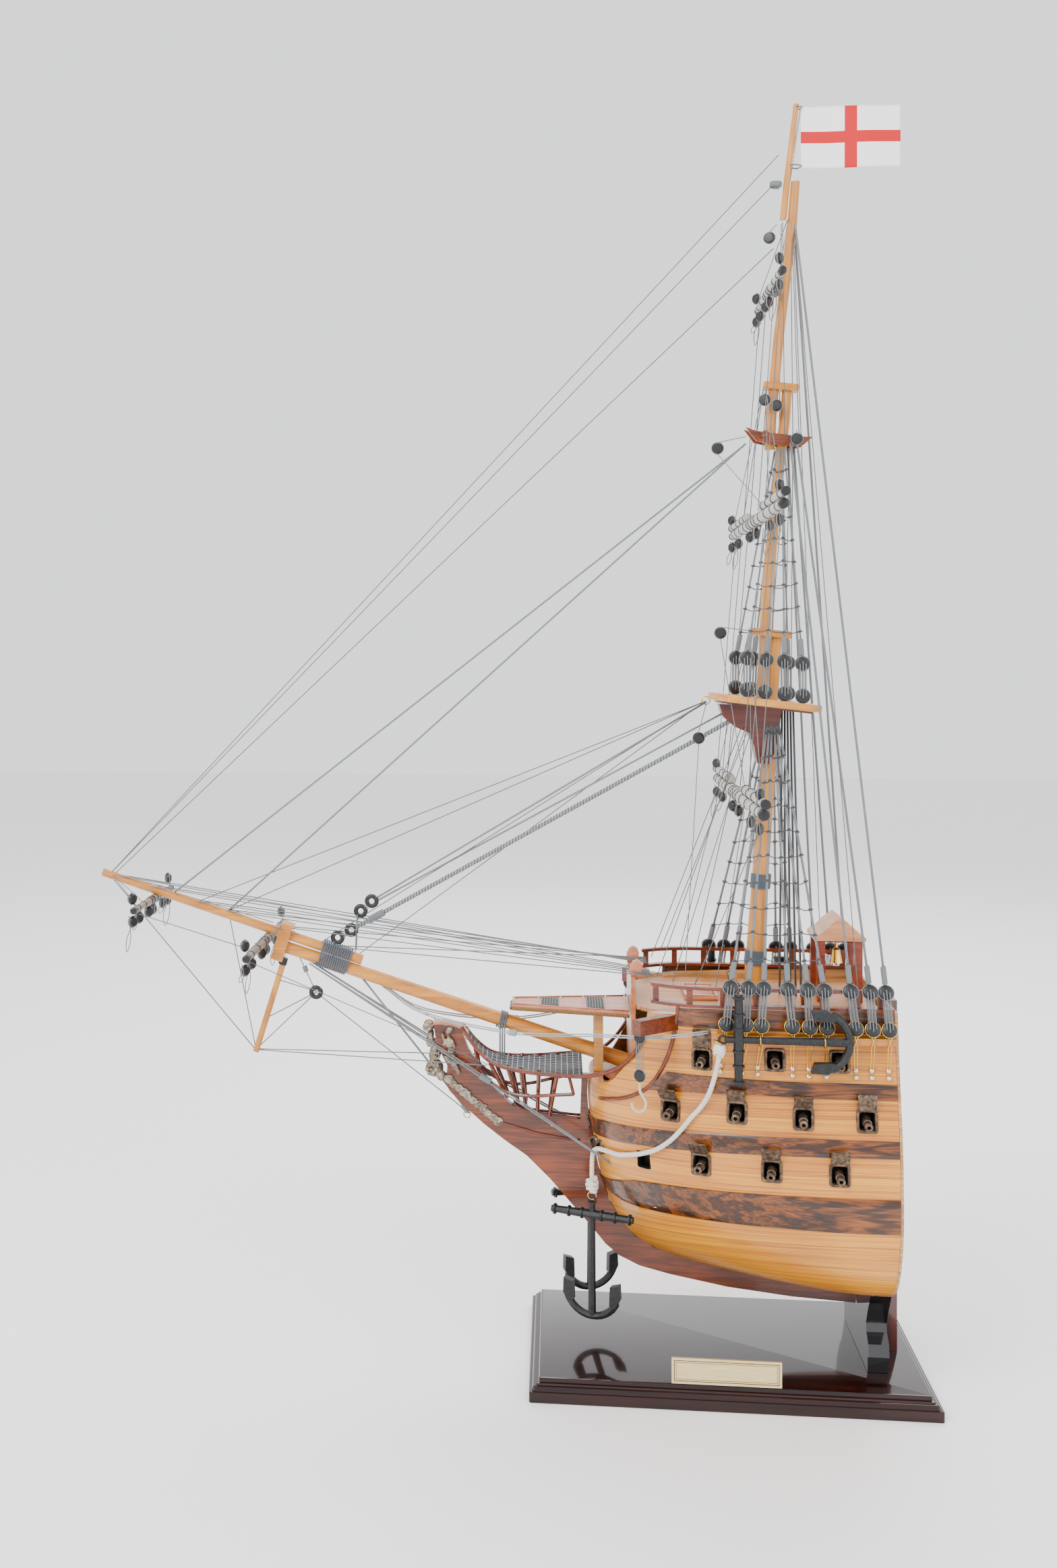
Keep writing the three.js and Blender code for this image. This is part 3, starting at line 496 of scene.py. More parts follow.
shader.inputs["Coat Roughness"].default_value = 0.15
bare_wood = wood("bare timber inside", "c99a63", "8a5c33", grain="Object")

MIDDLE_PORTS = [(-50, 241), (2.5, 245.5), (54.5, 244.5), (104.5, 244.5)]
LOWER_PORTS = [(-26, 200.5), (29, 202), (82, 202)]
UPPER_PORTS = [(-25, 286.5), (33, 289.5), (84.5, 289.5)]
BARE_PORT = (-71.5, 194.5)
PORT_HOLE = (0.013, 0.034, 0.0145)
cutters = []
for x, z in MIDDLE_PORTS + LOWER_PORTS + UPPER_PORTS + [BARE_PORT]:
    turn = math.atan2(breadth(x + 3, z) - breadth(x - 3, z), 6)
    for side, _ in SIDES:
        cutters.append((x, side * breadth(x, z), z, side * turn))
box = bmesh.new()
for x, y, z, turn in cutters:
    spot = Matrix.Translation(Vector((x, y, z)) * MM) @ Matrix.Rotation(turn, 4, "Z")
    bmesh.ops.create_cube(box, size=1, matrix=spot @ Matrix.Diagonal((*PORT_HOLE, 1)))
sweep = [
    (-150, 251.5), (-112, 251.5), (-106, 251.5), (-101, 252.5), (-97, 256), (-94, 260), (-88, 268.5),
    (-82, 278), (-76, 289.5), (-71, 303), (-68.6, 320), (-68, 340), (-150, 340)
]
front = [box.verts.new(Vector((x, -150, z)) * MM) for x, z in sweep]
rear = [box.verts.new(Vector((x, 150, z)) * MM) for x, z in sweep]
box.faces.new(front)
box.faces.new(rear[::-1])
for i in range(len(sweep)):
    k = (i + 1) % len(sweep)
    box.faces.new((front[i], rear[i], rear[k], front[k]))
bmesh.ops.recalc_face_normals(box, faces=box.faces)
cut_mesh = bpy.data.meshes.new("port_cutters")
box.to_mesh(cut_mesh)
cutter = bpy.data.objects.new("port_cutters", cut_mesh)
bpy.context.scene.collection.objects.link(cutter)


def apply_modifiers(piece):
    """Turns what a piece's modifiers show into its own mesh."""
    bpy.context.view_layer.update()
    shown = piece.evaluated_get(bpy.context.evaluated_depsgraph_get())
    done = bpy.data.meshes.new_from_object(shown)
    piece.modifiers.clear()
    piece.data = done


vertices, faces, uvs = [], [], []
ROWS, COLUMNS = 96, 84
for side, _ in SIDES:
    base = len(vertices)
    for i in range(ROWS + 1):
        t = i / ROWS
        start = line_value(START_X, t)
        for k in range(COLUMNS + 1):
            x = start + (CUT_X - start) * (k / COLUMNS) ** 1.8
            half, z = hull_point(t, x)
            vertices.append((x, side * half, z))
            uvs.append(((x - CUT_X) * MM + 1, t))
    for i in range(ROWS):
        for k in range(COLUMNS):
            a = base + i * (COLUMNS + 1) + k
            quad = (a, a + 1, a + COLUMNS + 2, a + COLUMNS + 1)
            faces.append(quad if side < 0 else quad[::-1])
planking = mesh_object("planking", vertices, faces, pine, uvs)
planking.data.materials.append(bare_wood)
weld = planking.modifiers.new("weld", "WELD")
weld.merge_threshold = 0.0001
shell = planking.modifiers.new("shell", "SOLIDIFY")
shell.thickness = 0.0038
shell.offset = -1
shell.material_offset = 1
holes = planking.modifiers.new("holes", "BOOLEAN")
holes.object = cutter
holes.solver = "EXACT"
apply_modifiers(planking)
bpy.data.objects.remove(cutter)
planking.data.set_sharp_from_angle(angle=math.radians(40))
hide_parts("hull_shell")
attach(planking, "ship")

# ------------------------------------------------------------------ keel, stem and knee
# Sawn from reddish mahogany boards, oiled and rubbed, with darker grain towards the knee.
mahogany = wood(
    "oiled mahogany", "84390d", "3d1503", along=10, across=240, gloss=0.33, knots=0.35, grain="Object"
)
paint_node("keel_stem", mahogany)

# ------------------------------------------------------------------ wales
# Three belts of dark figured rosewood stand a little proud of the planking, and a fourth
# covers the side between the channel and the rail.
rosewood = wood(
    "figured rosewood", "8a4708", "190801", along=16, across=250, gloss=0.3, knots=0.75, grain="Object"
)


def strake(name, low_edge, high_edge, proud, paint, stations=56):
    """A belt that lies on the hull between two edges, each a list of (x, z), both sides."""
    def level(edge, x):
        for (x0, z0), (x1, z1) in zip(edge, edge[1:]):
            if x <= x1:
                break
        return z0 + (z1 - z0) * min(max((x - x0) / (x1 - x0), 0), 1.02)

    section = [
        (0, -0.6), (0, proud * 0.75), (0.03, proud), (0.25, proud), (0.5, proud), (0.75, proud),
        (0.97, proud), (1, proud * 0.75), (1, -0.6)
    ]
    vertices, faces = [], []
    for side, _ in SIDES:
        base = len(vertices)
        for i in range(stations + 1):
            f = i / stations
            for share, out in section:
                x0 = low_edge[0][0] + (high_edge[0][0] - low_edge[0][0]) * share
                x = x0 + (CUT_X - x0) * f ** 1.5
                z0, z1 = level(low_edge, x), level(high_edge, x)
                point, _ = on_hull(x, z0 + (z1 - z0) * share, side, out)
                vertices.append((min(point.x, CUT_X), point.y, point.z))
        wide = len(section)
        for i in range(stations):
            for k in range(wide - 1):
                a = base + i * wide + k
                quad = (a, a + wide, a + wide + 1, a + 1)
                faces.append(quad if side < 0 else quad[::-1])
        for end in (base, base + stations * wide):
            ring = tuple(range(end, end + wide))
            faces.append(ring if (end == base) == (side < 0) else ring[::-1])
    made = mesh_object(name, vertices, faces, paint)
    made.data.set_sharp_from_angle(angle=math.radians(35))
    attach(made, "ship")
    return made


strake(
    "wale_upper", [(-69, 255), (-42, 258), (16, 261), (130, 260.5)],
    [(-53, 272.5), (-15, 272.8), (130, 272.8)], 1.7, rosewood
)
strake(
    "wale_middle",
    [(-116, 200.5), (-104, 203), (-74, 207), (-29, 211), (15, 213.8), (60, 215.5), (130, 216)],
    [(-119.5, 213.5), (-105, 218.5), (-86, 220.5), (-51, 224), (-7, 227.5), (60, 229.6), (130, 229.6)],
    1.0, rosewood
)
strake(
    "wale_lower",
    [(-101, 153), (-87, 148), (-73, 148), (-50, 150), (-6, 153.2), (38, 155.8), (130, 156.6)],
    [(-105.5, 161), (-78, 173), (-60, 176), (-29, 179), (15, 182), (60, 183.5), (130, 183.8)], 1.7,
    rosewood
)
strake(
    "sheer_strake", [(-46, 313), (0, 312.4), (130, 311.5)], [(-46, 328.4), (0, 328.4), (130, 328.4)], 0.8,
    rosewood
)

# ------------------------------------------------------------------ masts, bowsprit and caps
# Turned and tapered from pale boxwood dowel, doubled at the caps and rubbed with oil. The
# channels are sawn from the same wood; the cheeks under the top are of mahogany.
boxwood = wood("pale boxwood", "cf8a2c", "9a5c14", along=9, across=230, gloss=0.36, grain="Object", axis=2)
for name in ("lower_mast", "topmast", "topgallant_mast", "flag_pole", "dolphin_striker"):
    paint_node(name, boxwood)
bow_wood = wood("pale boxwood spar", "cc862a", "985812", along=9, across=230, gloss=0.36, grain="Object")
for name in (
    "bowsprit", "jibboom", "bowsprit_cap", "lower_cap", "topmast_cap", "channel_port", "channel_starboard"
):
    paint_node(name, bow_wood)
paint_node("crosstrees", mahogany)


def two_tone(name, upper, lower, slope, level):
    """Timber in two tints, upper and lower, each pale and deep, that meet at a sloping plane."""
    made, tree, shader = material(name)
    where = node(tree, "TexCoord")
    parts = node(tree, "SeparateXYZ", Vector=where.outputs["Object"])
    height = node(
        tree, "Math", _operation="MULTIPLY_ADD", i0=parts.outputs[0], i1=slope, i2=parts.outputs[2]
    )
    above = node(tree, "Math", _operation="GREATER_THAN", i0=height.outputs[0], i1=level)
    lie = node(tree, "Mapping", Vector=where.outputs["Object"], Scale=(12, 200, 200))
    streak = node(tree, "TexNoise", Vector=lie.outputs[0], Scale=1, Detail=6, Distortion=0.8)
    tones = [
        node(tree, "ValToRGB", ramp=[(0.3, rgba(deep)), (0.75, rgba(pale))], Fac=streak.outputs[0])
        for pale, deep in (upper, lower)
    ]
    mixed = node(tree, "MixRGB", i0=above.outputs[0], i1=tones[1].outputs[0], i2=tones[0].outputs[0])
    tree.links.new(mixed.outputs[0], shader.inputs["Base Color"])
    bump = node(tree, "Bump", Strength=0.15, Distance=0.0002, Height=streak.outputs[0])
    tree.links.new(bump.outputs[0], shader.inputs["Normal"])
    shader.inputs["Roughness"].default_value = 0.36
    shader.inputs["Coat Weight"].default_value = 0.35
    shader.inputs["Coat Roughness"].default_value = 0.15
    return made


paint_node(
    "foretop",
    two_tone(
        "boxwood rim over mahogany cheeks", ("d99a40", "a96a1e"), ("6b2410", "380d04"), 0.114, 0.5803
    )
)
paint_node(
    "marines_walk",
    two_tone("pearwood walk on boxwood posts", ("cf8260", "9c5030"), ("cf8d30", "9c6118"), 0, 0.3055)
)


def turned(name, spots, profile, paint, sides=18, body="ship"):
    """One turned shape at each (place, axis), from a profile of (along, radius), in millimetres.
    A third value in a spot scales its radius."""
    vertices, faces = [], []
    for place, axis, *size in spots:
        grow = size[0] if size else 1
        axis = Vector(axis).normalized()
        across = axis.orthogonal().normalized()
        other = axis.cross(across)
        base = len(vertices)
        for along, radius in profile:
            for k in range(sides):
                angle = 2 * math.pi * k / sides
                out = across * math.cos(angle) + other * math.sin(angle)
                vertices.append(Vector(place) + axis * along + out * radius * grow)
        for i in range(len(profile) - 1):
            for k in range(sides):
                a, b = base + i * sides + k, base + i * sides + (k + 1) % sides
                faces.append((a, b, b + sides, a + sides))
        faces.append(tuple(base + k for k in range(sides))[::-1])
        top = base + (len(profile) - 1) * sides
        faces.append(tuple(top + k for k in range(sides)))
    made = mesh_object(name, vertices, faces, paint)
    made.data.set_sharp_from_angle(angle=math.radians(38))
    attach(made, body)
    return made


def winding(place, axis, radius, turns=1, pitch=0.0, per=16):
    """Points of a ring, or of a coil that climbs by pitch each turn, centred on its place."""
    axis = Vector(axis).normalized()
    across = axis.orthogonal().normalized()
    other = axis.cross(across)
    points = []
    for i in range(round(turns * per) + 1):
        angle = 2 * math.pi * i / per
        climb = axis * pitch * (i / per - turns / 2)
        points.append(Vector(place) + climb + (across * math.cos(angle) + other * math.sin(angle)) * radius)
    return points


def twine(name, pale, deep):
    """Laid thread whose strands show as slanting light and dark marks: painted light on the strands' crests
    and painted shade in the grooves between them, over a bump of the same lay.
    """
    made, tree, shader = material(name)
    place = node(tree, "UVMap")
    parts = node(tree, "SeparateXYZ", Vector=place.outputs[0])
    turn = node(tree, "Math", _operation="MULTIPLY_ADD", i0=parts.outputs[0], i1=0.7, i2=parts.outputs[1])
    wave = node(
        tree, "Math", _operation="SINE",
        i0=node(tree, "Math", _operation="MULTIPLY", i0=turn.outputs[0], i1=12.57).outputs[0]
    )
    fibre = node(tree, "TexNoise", Vector=place.outputs[0], Scale=6, Detail=3)
    # The strand wave goes into the colour as painted light on the crests and painted shade in the grooves.
    both = node(tree, "Math", _operation="MULTIPLY_ADD", i0=wave.outputs[0], i1=0.22, i2=fibre.outputs[0])
    tone = node(tree, "ValToRGB", ramp=[(0.3, rgba(deep)), (0.7, rgba(pale))], Fac=both.outputs[0])
    tree.links.new(tone.outputs[0], shader.inputs["Base Color"])
    bump = node(tree, "Bump", Strength=0.6, Distance=0.0002, Height=wave.outputs[0])
    tree.links.new(bump.outputs[0], shader.inputs["Normal"])
    shader.inputs["Roughness"].default_value = 0.72
    shader.inputs["Sheen Weight"].default_value = 0.2
    return made


grey_line = twine("silver-grey laid line", "8d9193", "44484b")
dark_line = twine("dark grey laid line", "505357", "1e2023")
fine_thread = twine("fine grey thread", "77726d", "3e3a37")
blue_lashing = twine("blue-grey lashing", "5c6a77", "1b222a")
for (x, y, z), radius in (((29.1, 0, 355), 9.0), ((33.6, 0, 422), 8.3)):
    coil = winding((x, y, z), (0.09, 0, 1), radius, 11, 1.15, 26)
    lash = rope(f"woolding_{z}", [coil], 1.25, blue_lashing, sides=6, step=3)

# ------------------------------------------------------------------ yards
# Thin grey tube with black bands slid along it and black plugs in the ends. A slimmer tube
# for the studding sail lies on each arm of the two large yards.
yard_paint = mottled("pale grey painted tube", [(0.3, "96938b"), (0.75, "b5b2aa")], 160, 3, 0.4, coat=0.25)
brown_tube = mottled("brown-grey painted tube", [(0.3, "625548"), (0.75, "7f7263")], 160, 3, 0.42)
black_wood = mottled("black stained blocks", [(0.3, "050506"), (0.75, "121315")], 300, 4, 0.42, relief=0.2)

YARDS = {
    "lower_yard": (14, 498, 190, 5.8, True),
    "topsail_yard": (29, 738, 190, 5.4, True),
    "topgallant_yard": (41.4, 940, 86, 4.4, False),
    "spritsail_yard": (-407, 362, 100, 4.2, False),
    "sprit_topsail_yard": (-512, 397, 72, 3.7, False),
}
yard_blocks = []
yard_threads = []
for name, (x, z, half, radius, booms) in YARDS.items():
    paint_node(name, brown_tube if "sprit" in name else yard_paint)
    bands, ends = [], []
    shares = (0.06, 0.15, 0.3, 0.5, 0.7, 0.86) if booms else (0.08, 0.2, 0.5, 0.78)
    for side, _ in SIDES:
        bands += [((x, side * half * s, z), (0, 1, 0), 1 - 0.28 * s) for s in shares]
        ends.append(((x, side * half, z), (0, side, 0), 0.72))
    turned(
        f"{name}_bands", bands,
        [(-1.3, radius), (-1.1, radius + 0.45), (1.1, radius + 0.45), (1.3, radius)], black_wood,
        20
    )
    turned(
        f"{name}_ends", ends,
        [(-7, radius), (-6.8, radius + 0.5), (0.4, radius + 0.5), (0.8, radius - 0.4), (0.8, 0.1)],
        black_wood, 20
    )
    if booms:
        high = z + 1.55 * radius
        rings = [
            ((x, side * half * s, high), (0, 1, 0), 0.77 - 0.16 * s) for side, _ in SIDES
            for s in (0.36, 0.52, 0.7, 0.92)
        ]
        ring = [(-1, radius), (-0.8, radius + 0.7), (0.8, radius + 0.7), (1, radius)]
        turned(f"{name}_boom_bands", rings, ring, black_wood, 16)
        tips = [((x, side * half * 1.06, high), (0, side, 0), 0.6) for side, _ in SIDES]
        plug = [(-5, radius), (-4.8, radius + 0.8), (0.1, radius + 0.8), (0.3, radius - 0.6), (0.3, 0.3)]
        turned(f"{name}_boom_tips", tips, plug, black_wood, 16)
    for side, _ in SIDES:
        for share, low in ((0.12, 1), (0.62, 1), (0.93, 1), (0.95, -1)):
            y = side * half * share
            drop = (radius + 6.5) * low
            spot = Vector((x - 2, y, z - drop))
            if low < 0:
                spot = Vector((x - 2, y, z + radius + (9.5 if booms else 6.5)))
            yard_blocks.append((spot, (0.85, side * 0.5, 0)))
            yard_threads.append([Vector((x, y, z - low * (radius + 0.3))), spot])
            if low > 0 and share > 0.2:
                reach = 17 + 9 * math.sin(7 * share + z)
                yard_threads.append([
                    spot + Vector((0, 0, -2)), spot + Vector((-5, side * 2, -reach * 0.6)),
                    spot + Vector((-4, side * 5, -reach)), spot + Vector((0, side * 7, -reach * 0.55)),
                    Vector((x - 3, y + side * 9, z - radius)),
                ])

BLOCK = [
    (-2.5, 1.2), (-2.4, 3.6), (-1.5, 4.6), (-0.5, 4.9), (0, 4.5), (0.5, 4.9), (1.5, 4.6), (2.4, 3.6),
    (2.5, 1.2)
]
turned("yard_block_set", yard_blocks, BLOCK, black_wood, 20)
straps = [winding(place, axis, 4.95, 1, 0, 18) for place, axis in yard_blocks]
rope("yard_block_straps", straps, 1.1, grey_line, sides=5, step=4)
rope("yard_threads", yard_threads, 0.75, fine_thread, sides=5, step=4)

# ------------------------------------------------------------------ deadeyes and lanyards
# Turned black discs with three holes. The upper ones are turned into the shrouds, and the
# lower ones stand in brass strops whose chains run over the channel's edge to the side.
LOWER_LEGS = [
    (-7, -2.5), (8.6, 11.7), (21, 24.2), (45.6, 43.7), (59.5, 59.5), (73.2, 72.8), (95.8, 93.7),
    (109.4, 109.1), (122.5, 121.8)
]
TOP_LEGS = [
    (16.7, 591.2, 17, 618.2), (31.9, 589.5, 33, 616.8), (48.2, 587.7, 48.2, 615.5),
    (63.4, 585.9, 63.4, 613.5)
]
DEADEYE = [
    (-2.3, 0.2), (-2.3, 4.7), (-1.9, 5.5), (-1.0, 5.9), (0, 5.5), (1.0, 5.9), (1.9, 5.5), (2.3, 4.7),
    (2.3, 0.2)
]
chrome = mottled(
    "bright steel pin", [(0.3, "b9babc"), (0.7, "d7d8da")], 900, 2, 0.28, metallic=1, in_place=False
)
gilt = mottled(
    "polished brass wire", [(0.3, "b98a3a"), (0.7, "e3bd66")], 700, 3, 0.24, metallic=1, in_place=False
)
STROP_RADIUS = 6.1

discs, holes, strops, brass_strops, lanyards, seizings, chains, pins = [], [], [], [], [], [], [], []
shrouds, top_shrouds = {-1: [], 1: []}, {-1: [], 1: []}
for side, _ in SIDES:
    pairs = []
    for i, (low_x, high_x) in enumerate(LOWER_LEGS):
        goal = (43.5 + 1.4 * (i - 2.5), side * 5.5, 568)
        if i > 5:
            goal = ((58, side * 9, 806), (63.5, side * 10, 806), (63, side * 3, 998))[i - 6]
        pairs.append(
            (
                Vector((low_x, side * 113.6, 319.6 - 0.2 * i)),
                Vector((high_x, side * 102.2, 347.6 - 0.2 * i)), Vector(goal), 2.1
            )
        )
    for i, (x0, z0, x1, z1) in enumerate(TOP_LEGS):
        pairs.append(
            (
                Vector((x0, side * 46.8, z0)), Vector((x1, side * 45.2, z1)),
                Vector((50 + 2 * (i - 1.5), side * 8.5, 801)), 1.7
            )
        )
    for i, (low, high, goal, thick) in enumerate(pairs):
        down = (low - high).normalized()
        out = Vector((0, side, 0))
        out = (out - down * out.dot(down)).normalized()
        across = down.cross(out)
        up = (goal - high).normalized()
        discs += [(low, out), (high, out)]
        strops.append(winding(high, out, STROP_RADIUS, 1, 0, 20))
        (brass_strops if i < 9 else strops).append(winding(low, out, STROP_RADIUS, 1, 0, 20))
        for shift, rise in ((-2.4, -0.5), (0, 1.5), (2.4, -0.5)):
            start = high + across * shift - down * rise
            end = low + across * shift + down * rise
            holes += [(start, out), (end, out)]
            for face in (-1, 1):
                lanyards.append(
                    [
                        start + out * face * 1.4, start + out * face * 3.1 + down * 0.6,
                        end + out * face * 3.1 - down * 0.6, end + out * face * 1.4
                    ]
                )
        seizings.append(winding(high + up * 14, up, 1.2 + thick * 0.35, 15, 0.95, 9))
        if i < 9:
            anchor_x = low.x + (low.x - high.x) * 0.6
            pin, normal = on_hull(anchor_x, 283, side, 1.2)
            foot, _ = on_hull(anchor_x, 277.5, side, 1.2)
            edge = Vector((low.x, side * 114.2, 304))
            for shift in (-1.3, 1.3):
                chains.append(
                    [
                        low + down * 6 + across * shift, edge + Vector((shift, 0, 0)),
                        pin + Vector((shift * 0.7, 0, 0)), foot
                    ]
                )
            pins += [(pin, normal), (foot, normal)]
        line = [high + up * 6.2, goal]
        (shrouds if i < 9 else top_shrouds)[side].append(line)
turned("deadeyes", discs, DEADEYE, black_wood, 22)
turned(
    "deadeye_holes", holes, [(-2.42, 0.1), (-2.42, 0.85), (2.42, 0.85), (2.42, 0.1)], dark_line,
    8
)
rope("deadeye_strops", strops, 1.3, grey_line, sides=6, step=4)
rope("lower_strops", brass_strops, 1.1, gilt, sides=6, step=4)
rope("lanyards", lanyards, 0.95, grey_line, sides=5, step=9)
rope("shroud_seizings", seizings, 1.15, grey_line, sides=5, step=4)
rope("chains", chains, 0.95, gilt, sides=6, step=40)
turned(
    "chain_pins", pins, [(-1.6, 0.8), (0.5, 0.8), (0.6, 1.7), (1.1, 1.6), (1.5, 0.9), (1.6, 0.1)], chrome,
    12
)

# ------------------------------------------------------------------ shrouds and ratlines
# Each gang of shrouds is drawn up to the masthead. Thin ratlines are hitched across, with a
# small knot at each shroud and a little slack between.
for name, gangs, count, thick, levels in (
    ("lower", shrouds, 6, 2.1, [369 + 20.4 * i for i in range(10)]),
    ("topmast", top_shrouds, 4, 1.7, [641 + 20 * i for i in range(8)]),
):
    lines = gangs[-1] + gangs[1]
    rope(f"{name}_shrouds", lines, thick, grey_line, sides=7, step=60)
    ratlines, hitches = [], []
    for side, _ in SIDES:
        for level in levels:
            points = []
            for i, (start, end) in enumerate(gangs[side][:count]):
                f = (level - start.z + 1.2 * math.sin(level + 2 * i)) / (end.z - start.z)
                here = start.lerp(end, f)
                if points:
                    points.append(
                        (points[-1] + here) / 2 + Vector((0, 0, -0.9 - 0.6 * math.sin(level * i)))
                    )
                points.append(here + Vector((0, side * (thick * 0.5 + 0.2), 0)))
                hitches.append(winding(here, end - start, thick / 2 + 0.45, 2, 0.8, 8))
            lead = (points[0] - points[1]).normalized() * 2.2
            tail = (points[-1] - points[-2]).normalized() * 2.2
            ratlines.append([points[0] + lead, *points, points[-1] + tail])
    rope(f"{name}_ratlines", ratlines, 0.95, dark_line, sides=5, step=6)
    rope(f"{name}_hitches", hitches, 0.9, dark_line, sides=5, step=3)

# ------------------------------------------------------------------ stays and running rigging
# The forestay is thick cable set up with black hearts over the bowsprit. Thinner stays fan
# from each masthead to the jibboom, and lifts, halyards and braces fill in between.
def line_set(name, lines, thick, paint, sides=6, strands=0):
    rope(name, lines, thick, paint, sides=sides, strands=strands, step=60 if not strands else 2.2)


line_set("forestay", [[(8, 0, 563), (-160, 0, 467.7), (-325, 0, 374.4)]], 4.2, grey_line, 12, 3)
line_set(
    "second_stay", [[(-13.8, 0, 579), (-307, 0, 401)], [(2, 0, 570), (-305.5, 0, 399)]], 1.9, grey_line
)
line_set("topmast_stays", [
    [(20, 6, 806), (-493.8, 0, 402)], [(20, -6, 806), (-443.1, 0, 386.5)],
], 1.8, grey_line)
line_set("upper_stays", [
    [(46.8, 0, 1036.4), (-551.3, 0, 420.5)], [(44.5, 0, 977.8), (-548.1, 0, 419.5)],
    [(-13.8, 0, 580), (-470, 0, 395.5)], [(-13.8, 1, 580), (-443.1, 1, 387)],
    [(-13.8, -1, 580), (-357.5, -1, 360)], [(-14.2, 2, 580), (-323.6, 3, 349)],
    [(49, 0, 1060), (-552, 0, 420)],
], 0.9, fine_thread)
running = []
for side, _ in SIDES:
    running += [
        [(14, side * 176, 510), (24, side * 4, 642)], [(14, side * 100, 505), (24, side * 6, 642)],
        [(29, side * 176, 750), (37, side * 4, 857)], [(29, side * 96, 746), (37, side * 5, 857)],
        [(41.4, side * 82, 951), (57, side * 3, 1003)],
        [(29, side * 170, 728), (12, side * 172, 508)], [(29, side * 60, 728), (10, side * 56, 508)],
        [(29, side * 112, 728), (11, side * 108, 508)], [(41.4, side * 78, 930), (28, side * 80, 748)],
        [(41.4, side * 28, 930), (28, side * 30, 745)],
        [(60, side * 10, 812), (57, side * 22, 583)], [(52, side * 4, 1000), (52, side * 18, 812)],
        [(60, side * 3, 1000), (64, side * 19, 812)], [(62, side * 3, 1001), (100, side * 99, 347)],
        [(14, side * 172, 488), (-30, side * 87, 347)], [(13, side * 60, 488), (-14, side * 97, 347)],
        [(-407, side * 92, 368), (-391, side * 5, 376)], [(-407, side * 60, 368), (-391, side * 5, 374)],
        [(-512, side * 66, 402), (-549, side * 3, 419)], [(-512, side * 44, 402), (-549, side * 3, 419)],
        [(-407, side * 96, 360), (-205, side * 21, 259)], [(-512, side * 68, 395), (-412, side * 70, 366)],
        [(20, side * 14, 560), (-59, side * 46, 345)], [(26, side * 10, 560), (-48, side * 80, 347)],
    ]
line_set("running_rigging", running, 0.8, fine_thread, 5)
bow_falls = []
for side, _ in SIDES:
    for i, (x, z) in enumerate(
        [(-548, 419), (-512, 409), (-470, 396), (-443, 388), (-391, 374), (-345, 357)]
    ):
        bow_falls.append([(x, side * 3, z), (-64, side * (14 + 6 * i), 345)])
line_set("bow_falls", bow_falls, 1.0, grey_line, 5)
halyards = [
    [(53 + 2 * i, 7.5 - 3.1 * i, 573 - 0.2 * i), (51 + 4.2 * i, 8 - 3.4 * i, 321.5)] for i in range(5)
]
line_set("halyards", halyards, 1.9, dark_line)
line_set(
    "flag_halyard", [[(58, 0, 1036), (67.5, 0, 1100)], [(59, 0, 1036), (68.3, 0, 1100)]], 0.5,
    fine_thread, 5
)

bow_lines = [
    [(-551.3, 0, 417.2), (-416.3, 0, 261)], [(-441.2, 0, 384), (-416.3, 0, 261)],
    [(-416.3, 0, 262), (-361.2, 0, 315)], [(-408, 0, 290), (-361.2, 0, 315)],
    [(-397, 0, 326), (-361.2, 0, 316)],
    [(-361.2, 0, 315), (-376, 0, 346)], [(-361.2, 0, 315), (-222.6, 0, 210)],
]
bow_lines += [[(-416.3, side * 1.5, 262), (-206, side * 20, 258)] for side, _ in SIDES]
line_set("martingale", bow_lines, 1.1, grey_line)
doubled = [
    [(-77.4, side * 42, 167.7), (-207.6, side * 13 + shift, 244.3 + shift), (-366.7, side * 5, 342)]
    for side, _ in SIDES for shift in (-1, 1)
]
doubled += [[(-222.6, shift, 210), (-320, shift, 330)] for shift in (-1, 1)]
line_set("bowsprit_shrouds", doubled, 1.6, grey_line)
bow_seizings = [
    winding((-207.6, side * 13, 244.3), (-1, -side * 0.18, 0.48), 2.5, 12, 0.9, 10) for side, _ in SIDES
]
bow_seizings += [
    winding((-306, 0, 385.1), (-1, 0, -0.566), 2.9, 16, 0.95, 12),
    winding((-226, 0, 214), (-1, 0, 1.1), 2.2, 9, 0.9, 10)
]
bow_seizings += [
    winding((-371, 0, 336), (-0.4, 0, 1), 1.8, 6, 0.9, 10),
    winding((46.6, 0, 1034), (0.07, 0, 1), 4.9, 4, 1.1, 18)
]
rope("bow_seizings", bow_seizings, 1.1, grey_line, sides=5, step=3)
lashing = [winding((-344, 0, 347.5), (-0.953, 0, 0.302), 12.4, 14, 2.0, 26)]
lashing = [[Vector((p.x, p.y * 0.62, p.z)) for p in lashing[0]]]
lashing.append(winding((-193, 0, 294.7), (-0.953, 0, 0.302), 7.4, 3, 2.2, 22))
rope("bowsprit_lashing", lashing, 1.6, blue_lashing, sides=6, step=4)
line_set(
    "gammoning",
    [
        [(-191 - 2 * i, side * 7.3, 295), (-191 - 2 * i, side * 5.2, 260)] for i in range(3) for side,
        _ in SIDES
    ],
    1.1, grey_line
)
hearts = [
    ((x, 0, z), (0, 1, 0)) for x,
    z in ((-329, 372), (-341.5, 365), (-310.5, 398.5), (-320.5, 389.5), (-361.2, 315))
]
rope(
        "hearts", [winding(place, axis, 4.4, 1, 0, 22) for place, axis in hearts], 4.2, black_wood,
        sides=10, step=5
    )
heart_lines = []
for (x0, z0), (x1, z1), foot in (
    ((-329, 372), (-341.5, 365), (-345, 357)), ((-310.5, 398.5), (-320.5, 389.5), (-325, 353))
):
    for shift in (-2.4, 0, 2.4):
        for y in (-1.3, 1.3):
            heart_lines.append([(x0 - 3, y, z0 - 2 + shift), (x1 + 3, y, z1 + 2 + shift)])
    heart_lines += [[(x1 - 3, y, z1 - 3), (foot[0], y * 2.4, foot[1])] for y in (-2, 2)]
